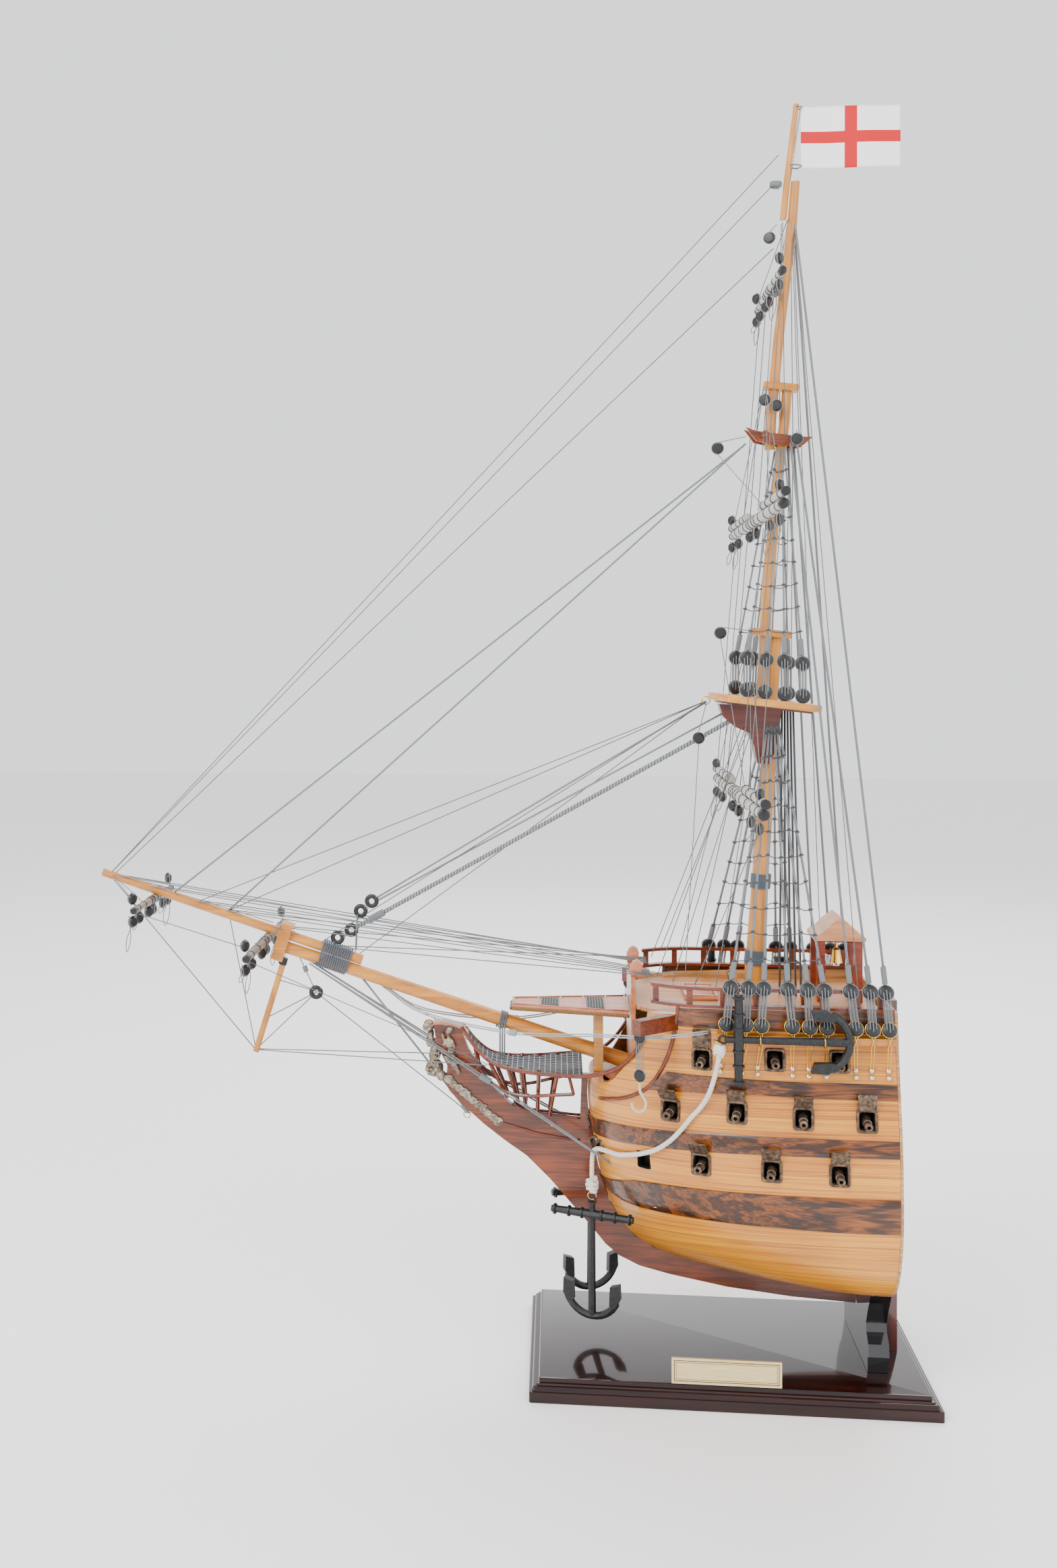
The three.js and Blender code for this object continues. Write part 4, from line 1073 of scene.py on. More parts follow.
line_set("heart_lanyards", heart_lines, 1.0, grey_line)
collar = [((-391.4, 0, 342.4), (-0.295, 0, -0.955))]
turned("striker_collar", collar, [(-4, 1.6), (-3.8, 3.7), (2.6, 3.9), (3, 2.9)], black_wood, 16)
rig_blocks = [
    ((35.5, -14, 843), (0.3, 1, 0)), ((46, -13, 838), (0.5, 0.9, 0)), ((60, -36, 806), (0.2, 1, 0)),
    ((40, -10, 985), (0.4, 1, 0)), ((-21, -12, 548), (0.1, 1, 0)), ((-3, -20, 640), (0.1, 1, 0)),
    ((-6, -26, 800), (0.1, 1, 0))
]
rig_blocks += [
    ((-76.8, side * 114, 307.5), (0.5, 0.9, 0)) for side, _ in SIDES
] + [((-76.8, side * 114, 276), (0.5, 0.9, 0)) for side, _ in SIDES]
turned("rigging_blocks", rig_blocks, BLOCK, black_wood, 20)
rope(
        "rigging_straps", [winding(place, axis, 5, 1, 0, 18) for place, axis in rig_blocks], 1.1,
        grey_line, sides=5, step=4
    )
tackle = [
    [(-76.8 + s, side * 114, 312), (-76.8 + s, side * 114, 271)] for side, _ in SIDES
    for s in (-2.6, -0.8, 1, 2.8)
]
tackle += [
    [(35.5, -14, 848), (40, -5, 857)], [(46, -13, 843), (45, -5, 857)], [(60, -36, 811), (60, -33, 814)],
    [(40, -10, 990), (47, -4, 998)]
]
tackle += [
    [(-21, -12, 553), (-13, -2, 580)], [(-3, -20, 645), (24, -6, 642)], [(-6, -26, 805), (20, -8, 812)]
]
tackle += [
    [(-21, -12, 543), (-36, -60, 350)], [(-3, -20, 635), (14, -62, 505)], [(-6, -26, 795), (29, -70, 744)]
]
line_set("tackle_falls", tackle, 0.8, grey_line, 5)

# ------------------------------------------------------------------ decks, bulkheads and rails
# The forecastle deck is laid with narrow strips and dark caulking. Rails, catheads and head
# timbers are red-brown mahogany; the belfry has a pearwood roof on mahogany posts.
deck_wood, tree, shader = material("laid deck strips")
where = node(tree, "TexCoord")
parts = node(tree, "SeparateXYZ", Vector=where.outputs["Object"])
strips = node(tree, "Math", _operation="MULTIPLY", i0=parts.outputs[1], i1=190)
edge = node(tree, "Math", _operation="PINGPONG", i0=strips.outputs[0], i1=0.5)
caulk = node(tree, "ValToRGB", ramp=[(0.0, rgba("4a2c18")), (0.09, rgba("ffffff"))], Fac=edge.outputs[0])
lie = node(tree, "Mapping", Vector=where.outputs["Object"], Scale=(12, 240, 240))
streak = node(tree, "TexNoise", Vector=lie.outputs[0], Scale=1, Detail=6, Distortion=0.7)
tone = node(tree, "ValToRGB", ramp=[(0.3, rgba("8f5320")), (0.75, rgba("c58540"))], Fac=streak.outputs[0])
worn = node(tree, "MixRGB", _blend_type="MULTIPLY", i0=0.8, i1=tone.outputs[0], i2=caulk.outputs[0])
tree.links.new(worn.outputs[0], shader.inputs["Base Color"])
bump = node(tree, "Bump", Strength=0.3, Distance=0.0004, Height=caulk.outputs[0])
tree.links.new(bump.outputs[0], shader.inputs["Normal"])
shader.inputs["Roughness"].default_value = 0.42
paint_node("forecastle_deck", deck_wood)
rail_wood = wood(
    "red-brown mahogany rail", "7f3311", "431505", along=14, across=260, gloss=0.28, knots=0.25,
    grain="Object"
)
for name in ("side_rail", "cathead", "head_rail"):
    for _, side_name in SIDES:
        paint_node(f"{name}_{side_name}", rail_wood)
pear_wood = wood("pearwood panel", "cb8260", "9b5232", along=12, across=240, gloss=0.32, grain="Object")
paint_node(
    "beakhead",
    two_tone(
        "pearwood platform under a pine bulkhead", ("c0702e", "8c4716"), ("c27a52", "925030"), 0, 0.2555
    )
)
paint_node("aft_bulkhead", bare_wood)
paint_node(
    "belfry",
    two_tone("pearwood roof on mahogany posts", ("d99a6c", "b3703f"), ("8e3512", "5c1c06"), 0, 0.3738)
)


def boxes(name, blocks, paint, chamfer=0.4, body="ship"):
    """Chamfered blocks, each (low corner, high corner) in millimetres, as one piece."""
    build = bmesh.new()
    for low, high in blocks:
        low, high = Vector(low), Vector(high)
        spot = Matrix.Translation((low + high) / 2 * MM) @ Matrix.Diagonal((*((high - low) * MM), 1))
        made = bmesh.ops.create_cube(build, size=1, matrix=spot)
        sides = list({e for v in made["verts"] for e in v.link_edges})
        bmesh.ops.bevel(build, geom=sides, offset=chamfer * MM, segments=2, affect="EDGES", profile=0.6)
    mesh = bpy.data.meshes.new(name)
    build.to_mesh(mesh)
    mesh.materials.append(paint)
    made = bpy.data.objects.new(name, mesh)
    bpy.context.scene.collection.objects.link(made)
    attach(made, body)
    return made


# ------------------------------------------------------------------ deck fittings
# A slatted hatch and a pin rack stand on the deck, and rounded timberheads rise from the
# beakhead bulkhead on either side of the walk.
DECK_TOP = 321.2
hatch = [((-34, -27, DECK_TOP), (-31.5, 27, 326)), ((-8, -27, DECK_TOP), (-5.5, 27, 326))]
hatch += [((-31.3, side * 25.6 - 1.3, DECK_TOP), (-8.2, side * 25.6 + 1.3, 326)) for side, _ in SIDES]
hatch += [((-31, -24 + 6.2 * i, 323.4), (-8.5, -20.6 + 6.2 * i, 325)) for i in range(8)]
boxes("deck_hatch", hatch, pear_wood)
rack = [
    ((8, -30, DECK_TOP), (12, -26, 338)), ((8, 26, DECK_TOP), (12, 30, 338)),
    ((7, -33, 334), (13, 33, 337))
]
rack += [((62, side * 46 - 2, DECK_TOP), (66, side * 46 + 2, 337)) for side, _ in SIDES]
boxes("pin_rack", rack, rail_wood)
pins = [((10, -21 + 7 * i, 335.5), (0, 0, 1)) for i in range(7)]
turned(
    "belaying_pins", pins,
    [(-7, 0.4), (-6, 0.7), (1.6, 0.8), (1.8, 1.4), (4.6, 1.1), (6, 1.4), (6.8, 0.5)], bow_wood,
    10
)
outline = [
    (-80, 341), (-82, 345.5), (-81.5, 351), (-79, 355.5), (-75.5, 357), (-72, 355), (-70.5, 350.5),
    (-71.5, 345.5), (-71, 341)
]
vertices, faces = [], []
for centre in (-34, 34):
    base = len(vertices)
    for y, shrink in ((-2.6, 0.86), (-2.1, 1), (2.1, 1), (2.6, 0.86)):
        vertices += [(-76 + (x + 76) * shrink, centre + y, 348 + (z - 348) * shrink) for x, z in outline]
    count = len(outline)
    for i in range(3):
        for k in range(count):
            a, b = base + i * count + k, base + i * count + (k + 1) % count
            faces.append((a, a + count, b + count, b))
    faces.append(tuple(base + k for k in range(count)))
    faces.append(tuple(base + 3 * count + k for k in range(count))[::-1])
heads = mesh_object("timberheads", vertices, faces, pear_wood)
heads.data.set_sharp_from_angle(angle=math.radians(35))
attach(heads, "ship")

# ------------------------------------------------------------------ walk over the bowsprit
# A long tapering platform of pearwood panels in thin battens, with two black gratings, and
# a gilt rope moulding glued along both edges.
battens = [
    ((x - 0.8, -14.9 - (x + 184) * 0.19, 311.5), (x + 0.8, 14.9 + (x + 184) * 0.19, 312.5))
    for x in (-182.5, -161, -141, -121, -101, -84)
]
boxes("walk_battens", battens, pear_wood, 0.25)
edges, ropes_of_gilt = [], []
for side, _ in SIDES:
    edges.append([(-184, side * 13.8, 312), (-82, side * 33.6, 312)])
    ropes_of_gilt.append([(-184, side * 15.4, 307.8), (-82, side * 35.9, 307.8)])
ropes_of_gilt.append([(-184.8, -15, 307.8), (-184.8, 15, 307.8)])
rope("walk_edges", edges, 1.3, pear_wood, sides=4, step=30)
gilt_rope = twine("gilded rope moulding", "96691f", "3d2408")
rope("walk_rope_moulding", ropes_of_gilt, 2.9, gilt_rope, sides=10, strands=3, step=1.5)
slats = []
for x0 in (-158.5, -118.5):
    half = 12 + (x0 + 184) * 0.19
    slats += [((x0 + 2.4 * i, -half, 311.6), (x0 + 1.2 + 2.4 * i, half, 312.3)) for i in range(7)]
    slats += [
        ((x0, -half + 2.4 * i, 311.7), (x0 + 15.6, -half + 1.1 + 2.4 * i, 312.1))
        for i in range(int(half * 2 / 2.4))
    ]
boxes("walk_gratings", slats, black_wood, 0.12)

# ------------------------------------------------------------------ gun ports
# Every port but the bare one is framed by a bronze casting with rounded corners. Every port is lined with
# black board, which also closes all but one upper port a side at the back as painted shade for the hull's
# dark inside.
# A cast barrel points out of each and droops a little. One upper lid a side is fixed upright.
bronze_tones = [(0.32, "41342b"), (0.55, "6b5848"), (0.8, "a08a72")]
bronze = mottled(
    "antiqued cast bronze", bronze_tones, 330, 5, 0.46, metallic=0.75, relief=0.35, depth=0.0004
)
for row, count in (("middle", 4), ("lower", 3)):
    for i in range(count):
        for _, side_name in SIDES:
            paint_node(f"lid_{row}_{i + 1}_{side_name}", bronze)
AROUND = 24
frames, frame_faces, lining_and_shade_points, lining_and_shade_faces, guns = [], [], [], [], []
for x, z in MIDDLE_PORTS + LOWER_PORTS + UPPER_PORTS + [BARE_PORT]:
    for side, _ in SIDES:
        centre, normal = on_hull(x, z, side, 0)
        flat = Vector((normal.x, normal.y, 0)).normalized()
        along = Vector((0, 0, 1)).cross(flat)
        rise = Vector((0, 0, 1))
        corner = []
        for k in range(AROUND):
            angle = 2 * math.pi * k / AROUND
            c, s = math.cos(angle), math.sin(angle)
            corner.append((math.copysign(abs(c) ** 0.28, c), math.copysign(abs(s) ** 0.28, s)))
        if (x, z) != BARE_PORT:
            base = len(frames)
            for grow, out in (
                (0, -4.2), (0, 0.5), (0.5, 1.5), (1.3, 1.2), (1.9, 1.8), (2.4, 1.1), (2.5, -0.8)
            ):
                for c, s in corner:
                    lean = -(normal.z / max(abs(normal.y), 0.3)) * s * 7 * 0.9
                    frames.append(
                        centre + along * c * (6.1 + grow) + rise * s * (6.9 + grow) + flat * (out + lean)
                    )
            for i in range(6):
                for k in range(AROUND):
                    a, b = base + i * AROUND + k, base + i * AROUND + (k + 1) % AROUND
                    frame_faces.append((a, a + AROUND, b + AROUND, b))
            muzzle = (flat + Vector((0, 0, -0.16))).normalized()
            guns.append((centre + Vector((0, 0, -1.4)), muzzle))
        base = len(lining_and_shade_points)
        for out in (0.2, -9):
            lining_and_shade_points += [centre + along * c * 6.3 + rise * s * 7.1 + flat * out for c, s in corner]
        for k in range(AROUND):
            b = (k + 1) % AROUND
            lining_and_shade_faces.append((base + k, base + AROUND + k, base + AROUND + b, base + b))
        # The black back face is painted shade, standing where the dark inside of the hull would be seen.
        if (x, z) != UPPER_PORTS[1]:
            lining_and_shade_faces.append(tuple(base + AROUND + k for k in range(AROUND)))
port_frames = mesh_object("port_frames", frames, frame_faces, bronze)
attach(port_frames, "ship")
black_liner_and_shade = mottled("black port lining and painted shade", [(0.3, "050505"), (0.7, "0c0b0b")], 500, 2, 0.7, in_place=False)
port_lining_and_shade = mesh_object("port_lining_and_shade", lining_and_shade_points, lining_and_shade_faces, black_liner_and_shade)
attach(port_lining_and_shade, "ship")
BARREL = [
    (-8, 0.3), (-8, 4.2), (-3, 3.8), (1, 3.3), (1.3, 3.7), (2.2, 3.6), (2.5, 3.1), (7, 2.7), (7.6, 3.3),
    (8.8, 3.5), (9.6, 2.9), (9.6, 1.6), (4, 1.5), (4, 0.2)
]
turned("gun_barrels", guns, BARREL, bronze, 20)
upright = []
for side, _ in SIDES:
    centre, normal = on_hull(-25, 303.5, side, 1.6)
    upright.append((centre + Vector((-7.6, -0.9, -6.6)), centre + Vector((7.6, 0.9, 8.6))))
    upright += [
        (centre + Vector((shift - 0.9, -1.5, -8.6)), centre + Vector((shift + 0.9, 1.5, -5.4)))
        for shift in (-4.4, 4.4)
    ]
boxes("upper_lid", upright, bronze, 0.5)

# ------------------------------------------------------------------ mouldings and castings
# Half-round mahogany mouldings sweep up the bow from the head, and a bronze casting frames
# each hawse hole. Brass eyes take the bowsprit rigging.
SWEEP_B = [
    (-44, 330), (-46, 314), (-50, 292), (-58, 272), (-69, 256), (-86, 244.5), (-104, 238), (-114, 231)
]
sweeps = []
for side, _ in SIDES:
    sweeps.append([on_hull(x, z, side, 0.8)[0] for x, z in SWEEP_B])
rope("bow_mouldings", sweeps, 3.2, rail_wood, sides=10, step=3)
knee_mouldings = []
for side, _ in SIDES:
    knee_mouldings.append(
        [
            (-205, side * 4.6, 207), (-180, side * 4.6, 200), (-155, side * 4.6, 194),
            (-124, side * 4.8, 190)
        ]
    )
    knee_mouldings.append(
        [
            (-183, side * 4.6, 221), (-170, side * 4.6, 214.5), (-142, side * 4.8, 211.4),
            (-124, side * 5, 210)
        ]
    )
rope("knee_mouldings", knee_mouldings, 2.6, rail_wood, sides=8, step=4)
hawse = []
for side, _ in SIDES:
    for shift in (0, 9):
        hole = Vector((-112 + shift * 0.6, side * (21 + shift), 193 - shift * 0.1))
        hawse.append((hole, (-0.75, side * 0.66, 0)))
turned(
    "hawse_castings", hawse,
    [(-2, 6.4), (0.6, 6.2), (1.5, 5.2), (1.4, 4.2), (0.2, 3.6), (-1.6, 3.5), (-1.6, 0.3)], bronze,
    22
)
eyes, shanks = [], []
for place, axis in (
    ((-60.1, 60, 151.6), (0, 0.3, 1)), ((-77.4, 42, 167.7), (0.2, 0.3, 1)),
    ((-148, 5.6, 203), (0, 0.4, 1))
):
    for side, _ in SIDES:
        spot = Vector((place[0], side * (place[1] + 2.2), place[2]))
        eyes.append(winding(spot, axis, 2.6, 1, 0, 18))
eyes.append(winding((-224.5, 0, 208.6), (0, 1, 0), 3, 1, 0, 18))
eyes.append(winding((-13.8, 0, 580.5), (0, 1, 0), 3.4, 1, 0, 18))
for side, _ in SIDES:
    eyes.append(winding((-114, side * 34, 151), (0, 1, 0), 3.6, 1, 0, 18))
    eyes.append(winding((-14, side * 121, 306.8), (0.4, 0, 1), 3.8, 1, 0, 18))
    eyes += [winding((x, side * 121.5, 309), (1, 0, 0), 4.6, 1, 0, 18) for x in (19, 70)]
    shanks += [[(x, side * 117, 308.6), (x, side * 112, 308)] for x in (19, 70)]
rope("brass_eyes", eyes + shanks, 1.1, gilt, sides=8, step=3)
hook_paint = mottled(
    "horn-coloured casting", [(0.3, "b09a7c"), (0.7, "d4c3a6")], 200, 3, 0.4, in_place=False
)
hook_paint.node_tree.nodes["Principled BSDF"].inputs["Subsurface Weight"].default_value = 0.15
hooks = []
for side, _ in SIDES:
    bend = [
        (0, 270.5), (0, 264), (2.5, 259), (5, 254), (3.6, 248.5), (-0.6, 246), (-5, 248.5), (-6.8, 253.5)
    ]
    hooks.append([(-76.8 + x, side * 114, z) for x, z in bend])
rope("cat_hooks", hooks, 2.3, hook_paint, sides=10, step=1.2)
cat_lines = []
for side, _ in SIDES:
    for shift in (-0.9, 0.9):
        cat_lines.append(
            [
                (-20.7, side * 104, 311 + shift), (-60, side * 99, 304.5 + shift),
                (-112, side * 65, 297 + shift), (-183.2, side * 30, 289.7 + shift),
                (-262, side * 8, 300 + shift), (-301, 0, 323 + shift)
            ]
        )
pale_line = twine("pale grey laid line", "b9bbba", "6d7072")
rope("cat_lines", cat_lines, 1.3, pale_line, sides=6, step=10)
rope(
        "cat_line_seizings",
        [winding((-183, side * 30, 289.7), (-1, -side * 0.3, 0.1), 2.4, 6, 1.1, 10) for side, _ in SIDES],
        1.2, pale_line, sides=5, step=3
    )

# ------------------------------------------------------------------ head netting
# Black gauze is stretched between the two head rails and sags to the knee. White thread
# ruled across it marks out the grating.
net_paint, tree, shader = material("black netting with white threads")
place = node(tree, "UVMap")
parts = node(tree, "SeparateXYZ", Vector=place.outputs[0])
lines = []
for socket in (parts.outputs[0], parts.outputs[1]):
    shares = node(tree, "Math", _operation="PINGPONG", i0=socket, i1=0.5)
    lines.append(node(tree, "Math", _operation="LESS_THAN", i0=shares.outputs[0], i1=0.042))
thread = node(tree, "Math", _operation="MAXIMUM", i0=lines[0].outputs[0], i1=lines[1].outputs[0])
weave = node(
    tree, "TexChecker", Vector=place.outputs[0], Scale=9, Color1=rgba("232629"), Color2=rgba("3a3e42")
)
mixed = node(tree, "MixRGB", i0=thread.outputs[0], i1=weave.outputs[0], i2=rgba("c3c6c8"))
tree.links.new(mixed.outputs[0], shader.inputs["Base Color"])
bump = node(tree, "Bump", Strength=0.6, Distance=0.0004, Height=thread.outputs[0])
tree.links.new(bump.outputs[0], shader.inputs["Normal"])
shader.inputs["Roughness"].default_value = 0.85
EDGE = [
    (-227, 7.4, 286), (-217, 12, 272), (-203.7, 17.4, 261.4), (-186, 24.2, 256.6), (-163, 32, 255.4),
    (-142, 39, 255.8), (-122, 44, 256.6)
]
NET_STEP, MESH_WIDE = 2.5, 5.2
rail_line = smooth_path(EDGE, NET_STEP)
vertices, faces, uvs = [], [], []
ACROSS = 24
for i, here in enumerate(rail_line):
    for k in range(ACROSS + 1):
        v = 2 * k / ACROSS - 1
        sag = (1 - v * v) * min(here.y * 0.11, 2.6)
        vertices.append((here.x, here.y * v, here.z - sag + 0.25 * math.sin(i * 0.9 + k)))
        uvs.append((i * NET_STEP / MESH_WIDE, here.y * v / MESH_WIDE))
wide = ACROSS + 1
for i in range(len(rail_line) - 1):
    for k in range(ACROSS):
        a = i * wide + k
        faces.append((a, a + 1, a + 1 + wide, a + wide))
net = mesh_object("head_net", vertices, faces, net_paint, uvs)
thick = net.modifiers.new("thickness", "SOLIDIFY")
thick.thickness = 0.0007
apply_modifiers(net)
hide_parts("head_grating")
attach(net, "ship")

# ------------------------------------------------------------------ figurehead and trailboards
# Cast in one dull bronze: a scrolled cluster with a rosette in front of the knee, a calm
# kneeling figure on each cheek, and a leafy relief that runs down the knee's edge.
pewter, tree, shader = material("dull bronze casting")
where = node(tree, "TexCoord")
worn = node(tree, "TexNoise", Vector=where.outputs["Object"], Scale=260, Detail=5)
hollow = node(tree, "TexNoise", Vector=where.outputs["Object"], Scale=90, Detail=2)
both = node(tree, "Math", _operation="MULTIPLY_ADD", i0=hollow.outputs[0], i1=0.5, i2=worn.outputs[0])
tone = node(
    tree, "ValToRGB", ramp=[(0.5, rgba("4b4237")), (0.75, rgba("86796a")), (1.0, rgba("b5a996"))],
    Fac=both.outputs[0]
)
tree.links.new(tone.outputs[0], shader.inputs["Base Color"])
bump = node(tree, "Bump", Strength=0.3, Distance=0.0004, Height=worn.outputs[0])
tree.links.new(bump.outputs[0], shader.inputs["Normal"])
shader.inputs["Metallic"].default_value = 0.7
shader.inputs["Roughness"].default_value = 0.42


def casting(name, lumps, paint, voxel=0.42):
    """Ellipsoids (centre, radii, tilt about y in degrees) fused and softened into one casting."""
    build = bmesh.new()
    for centre, radii, tilt in lumps:
        spot = Matrix.Translation(Vector(centre) * MM) @ Matrix.Rotation(math.radians(tilt), 4, "Y")
        bmesh.ops.create_icosphere(
            build, subdivisions=3, radius=1, matrix=spot @ Matrix.Diagonal((*(Vector(radii) * MM), 1))
        )
    mesh = bpy.data.meshes.new(name)
    build.to_mesh(mesh)
    mesh.materials.append(paint)
    made = bpy.data.objects.new(name, mesh)
    bpy.context.scene.collection.objects.link(made)
    fuse = made.modifiers.new("fuse", "REMESH")
    fuse.mode = "VOXEL"
    fuse.voxel_size = voxel * MM
    fuse.use_smooth_shade = True
    soften = made.modifiers.new("soften", "SMOOTH")
    soften.factor = 0.5
    soften.iterations = 3
    apply_modifiers(made)
    made.data.materials.clear()
    made.data.materials.append(paint)
    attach(made, "ship")
    return made


def scroll(centre, start, size, turns, lift, side):
    """Lumps along a spiral in the xz plane that shrinks as it winds in."""
    lumps = []
    for i in range(round(turns * 12)):
        f = i / (turns * 12)
        angle = start + 2 * math.pi * turns * f
        reach = size * (1 - 0.8 * f)
        spot = (
            centre[0] + reach * math.cos(angle), side * (centre[1] + lift * f),
            centre[2] + reach * math.sin(angle)
        )
        lumps.append((spot, (1.25 - 0.4 * f,) * 3, 0))
    return lumps


front = [
    ((-258.5, 0, 287), (4.6, 5.4, 4.8), 0), ((-257.8, 0, 277), (3.4, 4.6, 8), 12),
    ((-254, 0, 265), (4, 5.4, 8.5), 22), ((-253.5, 0, 250), (8, 5.6, 8.5), 0),
    ((-247.5, 0, 243), (4.5, 5, 5), 0)
]
for side, _ in SIDES:
    front += scroll((-259.5, 4.6, 287), 0.4, 4.6, 1.6, 1.4, side)
    front += scroll((-256.5, 4.2, 273), 1.4, 4.2, 1.5, 1.2, side)
    front += scroll((-252, 4.8, 262), 2.4, 4.4, 1.5, 1.2, side)
    front += scroll((-256, 5, 249.5), 0, 7.2, 1.1, 0.6, side)
    front += [
        ((-256 + 4.2 * math.cos(a), side * 6.2, 249.5 + 4.2 * math.sin(a)), (1.9, 1.2, 1.9), 0)
        for a in (0, 1.05, 2.1, 3.14, 4.19, 5.24)
    ]
    front.append(((-256, side * 6.6, 249.5), (1.8, 1.4, 1.8), 0))
cluster = casting("figurehead_cluster", front, pewter)
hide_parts("figurehead")
figures = []
for side, _ in SIDES:
    y = side * 7.6
    figures += [
        ((-240.4, y, 284.6), (3.0, 2.8, 3.5), 0), ((-239.6, y, 286.3), (3.5, 3.2, 2.9), 0),
        ((-240.9, y, 279.8), (1.5, 1.5, 2.4), 0)
    ]
    figures += [
        ((-242.9, y + side * 0.4, 284.2), (0.75, 0.6, 0.8), 0),
        ((-241.8, y + side * 2.5, 285), (0.6, 0.5, 0.35), 0),
        ((-241.8, y + side * 2.3, 282.4), (0.8, 0.45, 0.3), 0)
    ]
    figures += [
        ((-239.8, y, 273.8), (4.1, 2.9, 5.6), -8), ((-238.2, y, 266), (3.7, 2.8, 4), -10),
        ((-240, y + side * 1, 259.5), (6.2, 2.6, 3), 28),
        ((-235.6, y + side * 1, 254.6), (3, 2.4, 5.4), -32)
    ]
    figures += [
        ((-243.8, y + side * 1.4, 274.5), (1.6, 1.5, 4), 20),
        ((-245.4, y + side * 1.6, 279.5), (1.4, 1.4, 3.6), -14),
        ((-236.2, y + side * 1.6, 273), (1.6, 1.5, 4.6), -20),
        ((-238.6, y + side * 2.6, 266.6), (3, 1.3, 1.4), 20)
    ]
    figures += [((-236.5 + 1.4 * i, y + side * 0.6, 262 - 4.4 * i), (2.2, 2.2, 2.9), -30) for i in range(4)]
casting("knee_figures", figures, pewter, 0.36)
leaves = []
for side, _ in SIDES:
    for i in range(11):
        f = i / 10
        x, z = -241 + 44 * f, 241 - 36.5 * f
        leaves.append(((x, side * 4.9, z), (4.6, 1.3, 3.9), 40))
        leaves += scroll((x + 1, 5.8, z + 0.6), 1.9 * i, 3.2, 1.2, 0.6, side)
casting("trailboards", leaves, pewter, 0.42)
cap = [(-254.5, 289.7), (-246, 290.4), (-237, 289.4), (-229, 286.4), (-223.5, 281)]
vertices, faces = [], []
for x, z in cap:
    vertices += [(x, -7.2, z), (x, 7.2, z), (x, 7.2, z + 1.8), (x, -7.2, z + 1.8)]
for i in range(len(cap) - 1):
    for k in range(4):
        a, b = 4 * i + k, 4 * i + (k + 1) % 4
        faces.append((a, b, b + 4, a + 4))
faces += [(3, 2, 1, 0), tuple(4 * (len(cap) - 1) + k for k in range(4))]
knee_cap = mesh_object("knee_cap", vertices, faces, pear_wood, smooth=False)
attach(knee_cap, "ship")

# ------------------------------------------------------------------ anchors and bell
# The anchors are cast white metal blackened with graphite, banded on the stock. The bell is
# turned brass with a small clapper.
graphite_tones = [(0.35, "0b0c0d"), (0.8, "232528")]
graphite = mottled(
    "graphite-black casting", graphite_tones, 420, 5, 0.5, metallic=0.2, relief=0.45, depth=0.0005
)
BAND = [(-0.9, 3.2), (-0.8, 4.75), (0.8, 4.75), (0.9, 3.2)]
for side, side_name in SIDES:
    paint_node(f"bower_anchor_{side_name}", graphite)
    paint_node(f"sheet_anchor_{side_name}", graphite)
    spread = Matrix.Rotation(math.radians(20 * side), 3, "Z")
    lie = spread @ Vector((1, 0, 0))
    spots = [
        (Vector((-114, side * 34, 147.5)) + spread @ Vector((shift, 0, -13)), lie)
        for shift in (-34, -21, -9, 9, 21, 34)
    ]
    turned(f"bower_stock_bands_{side_name}", spots, BAND, graphite, 16, f"bower_anchor_{side_name}")
    spots = [((2, side * 121.5, 309 + shift), (0, 0, 1)) for shift in (-34, -21, -9, 9, 21, 34)]
    turned(f"sheet_stock_bands_{side_name}", spots, BAND, graphite, 16)
bell_brass, tree, shader = material("polished bell brass")
where = node(tree, "TexCoord")
turned_marks = node(tree, "Mapping", Vector=where.outputs["Object"], Scale=(30, 30, 1500))
marks = node(tree, "TexNoise", Vector=turned_marks.outputs[0], Scale=1, Detail=3)
tone = node(tree, "ValToRGB", ramp=[(0.3, rgba("dca53a")), (0.7, rgba("f6cf6c"))], Fac=marks.outputs[0])
tree.links.new(tone.outputs[0], shader.inputs["Base Color"])
shader.inputs["Metallic"].default_value = 1
shader.inputs["Roughness"].default_value = 0.16
paint_node("bell", bell_brass)
turned(
    "clapper", [((98.5, 0, 368), (0, 0, -1))],
    [(6, 0.4), (15.4, 0.5), (15.8, 1.2), (17.6, 1.3), (18.4, 0.4)], graphite, 12, "bell"
)
rope(
        "bell_hanger", [winding((98.5, 0, 368.4), (0, 1, 0), 1.9, 1, 0, 16)], 0.7, gilt, sides=6, step=2
    )

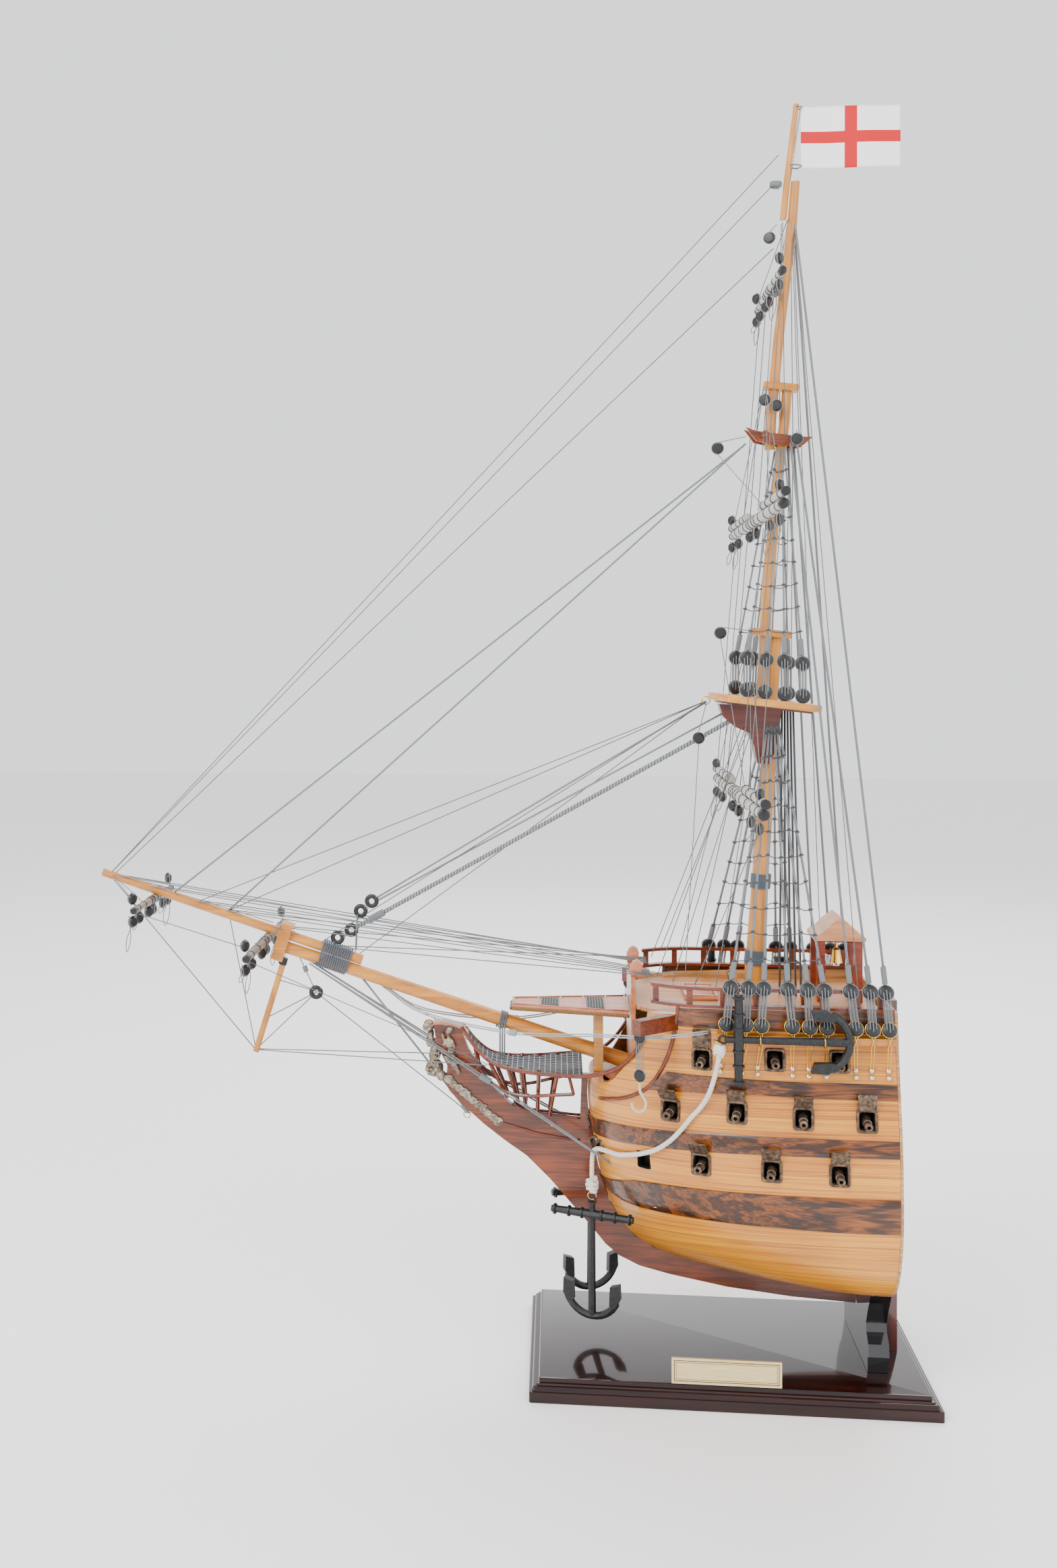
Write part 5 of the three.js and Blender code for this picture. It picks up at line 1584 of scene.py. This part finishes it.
# ------------------------------------------------------------------ flag
# A cut piece of stiffened white cotton with a red cross printed through it. It is tied to
# the pole at two corners and keeps a slight wave.
flag_cloth, tree, shader = material("white cotton with a red cross")
place = node(tree, "UVMap")
parts = node(tree, "SeparateXYZ", Vector=place.outputs[0])
arms = []
for socket, wide in ((parts.outputs[0], 0.062), (parts.outputs[1], 0.095)):
    away = node(tree, "Math", _operation="SUBTRACT", i0=socket, i1=0.5)
    size = node(tree, "Math", _operation="ABSOLUTE", i0=away.outputs[0])
    arms.append(node(tree, "Math", _operation="LESS_THAN", i0=size.outputs[0], i1=wide))
cross = node(tree, "Math", _operation="MAXIMUM", i0=arms[0].outputs[0], i1=arms[1].outputs[0])
threads = node(tree, "Mapping", Vector=place.outputs[0], Scale=(210, 140, 1))
weave = node(
    tree, "TexChecker", Vector=threads.outputs[0], Scale=1, Color1=rgba("ffffff"), Color2=rgba("ebe9e6")
)
dyed = node(tree, "MixRGB", i0=cross.outputs[0], i1=rgba("f6f4f2"), i2=rgba("c3141c"))
tinted = node(tree, "MixRGB", _blend_type="MULTIPLY", i0=0.6, i1=dyed.outputs[0], i2=weave.outputs[0])
tree.links.new(tinted.outputs[0], shader.inputs["Base Color"])
bump = node(tree, "Bump", Strength=0.2, Distance=0.0001, Height=weave.outputs[0])
tree.links.new(bump.outputs[0], shader.inputs["Normal"])
shader.inputs["Roughness"].default_value = 0.85
FLAG_LONG, FLAG_TALL = 86.0, 54.0
vertices, faces, uvs = [], [], []
COLUMNS, ROWS = 60, 20
for i in range(COLUMNS + 1):
    for k in range(ROWS + 1):
        u, v = i / COLUMNS, k / ROWS
        wave = 1.9 * u ** 0.6 * math.sin(7.2 * u + 0.9 * v)
        vertices.append((68.2 + 85.4 * u, wave, 1047.6 + FLAG_TALL * v - 0.7 * math.sin(2.4 * u)))
        uvs.append((u, v))
for i in range(COLUMNS):
    for k in range(ROWS):
        a = i * (ROWS + 1) + k
        faces.append((a, a + ROWS + 1, a + ROWS + 2, a + 1))
flag = mesh_object("flag_cloth", vertices, faces, flag_cloth, uvs)
thick = flag.modifiers.new("thickness", "SOLIDIFY")
thick.thickness = 0.0005
thick.offset = 0
apply_modifiers(flag)
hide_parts("flag")
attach(flag, "ship")
ties = [
    winding((66.2, 0, 1101), (0.1, 0, 1), 3.2, 2, 0.6, 14),
    winding((63.4, 0, 1049.5), (0.1, 0, 1), 5.4, 2, 0.6, 14)
]
tie = rope("flag_ties", ties, 0.6, fine_thread, sides=5, step=2)
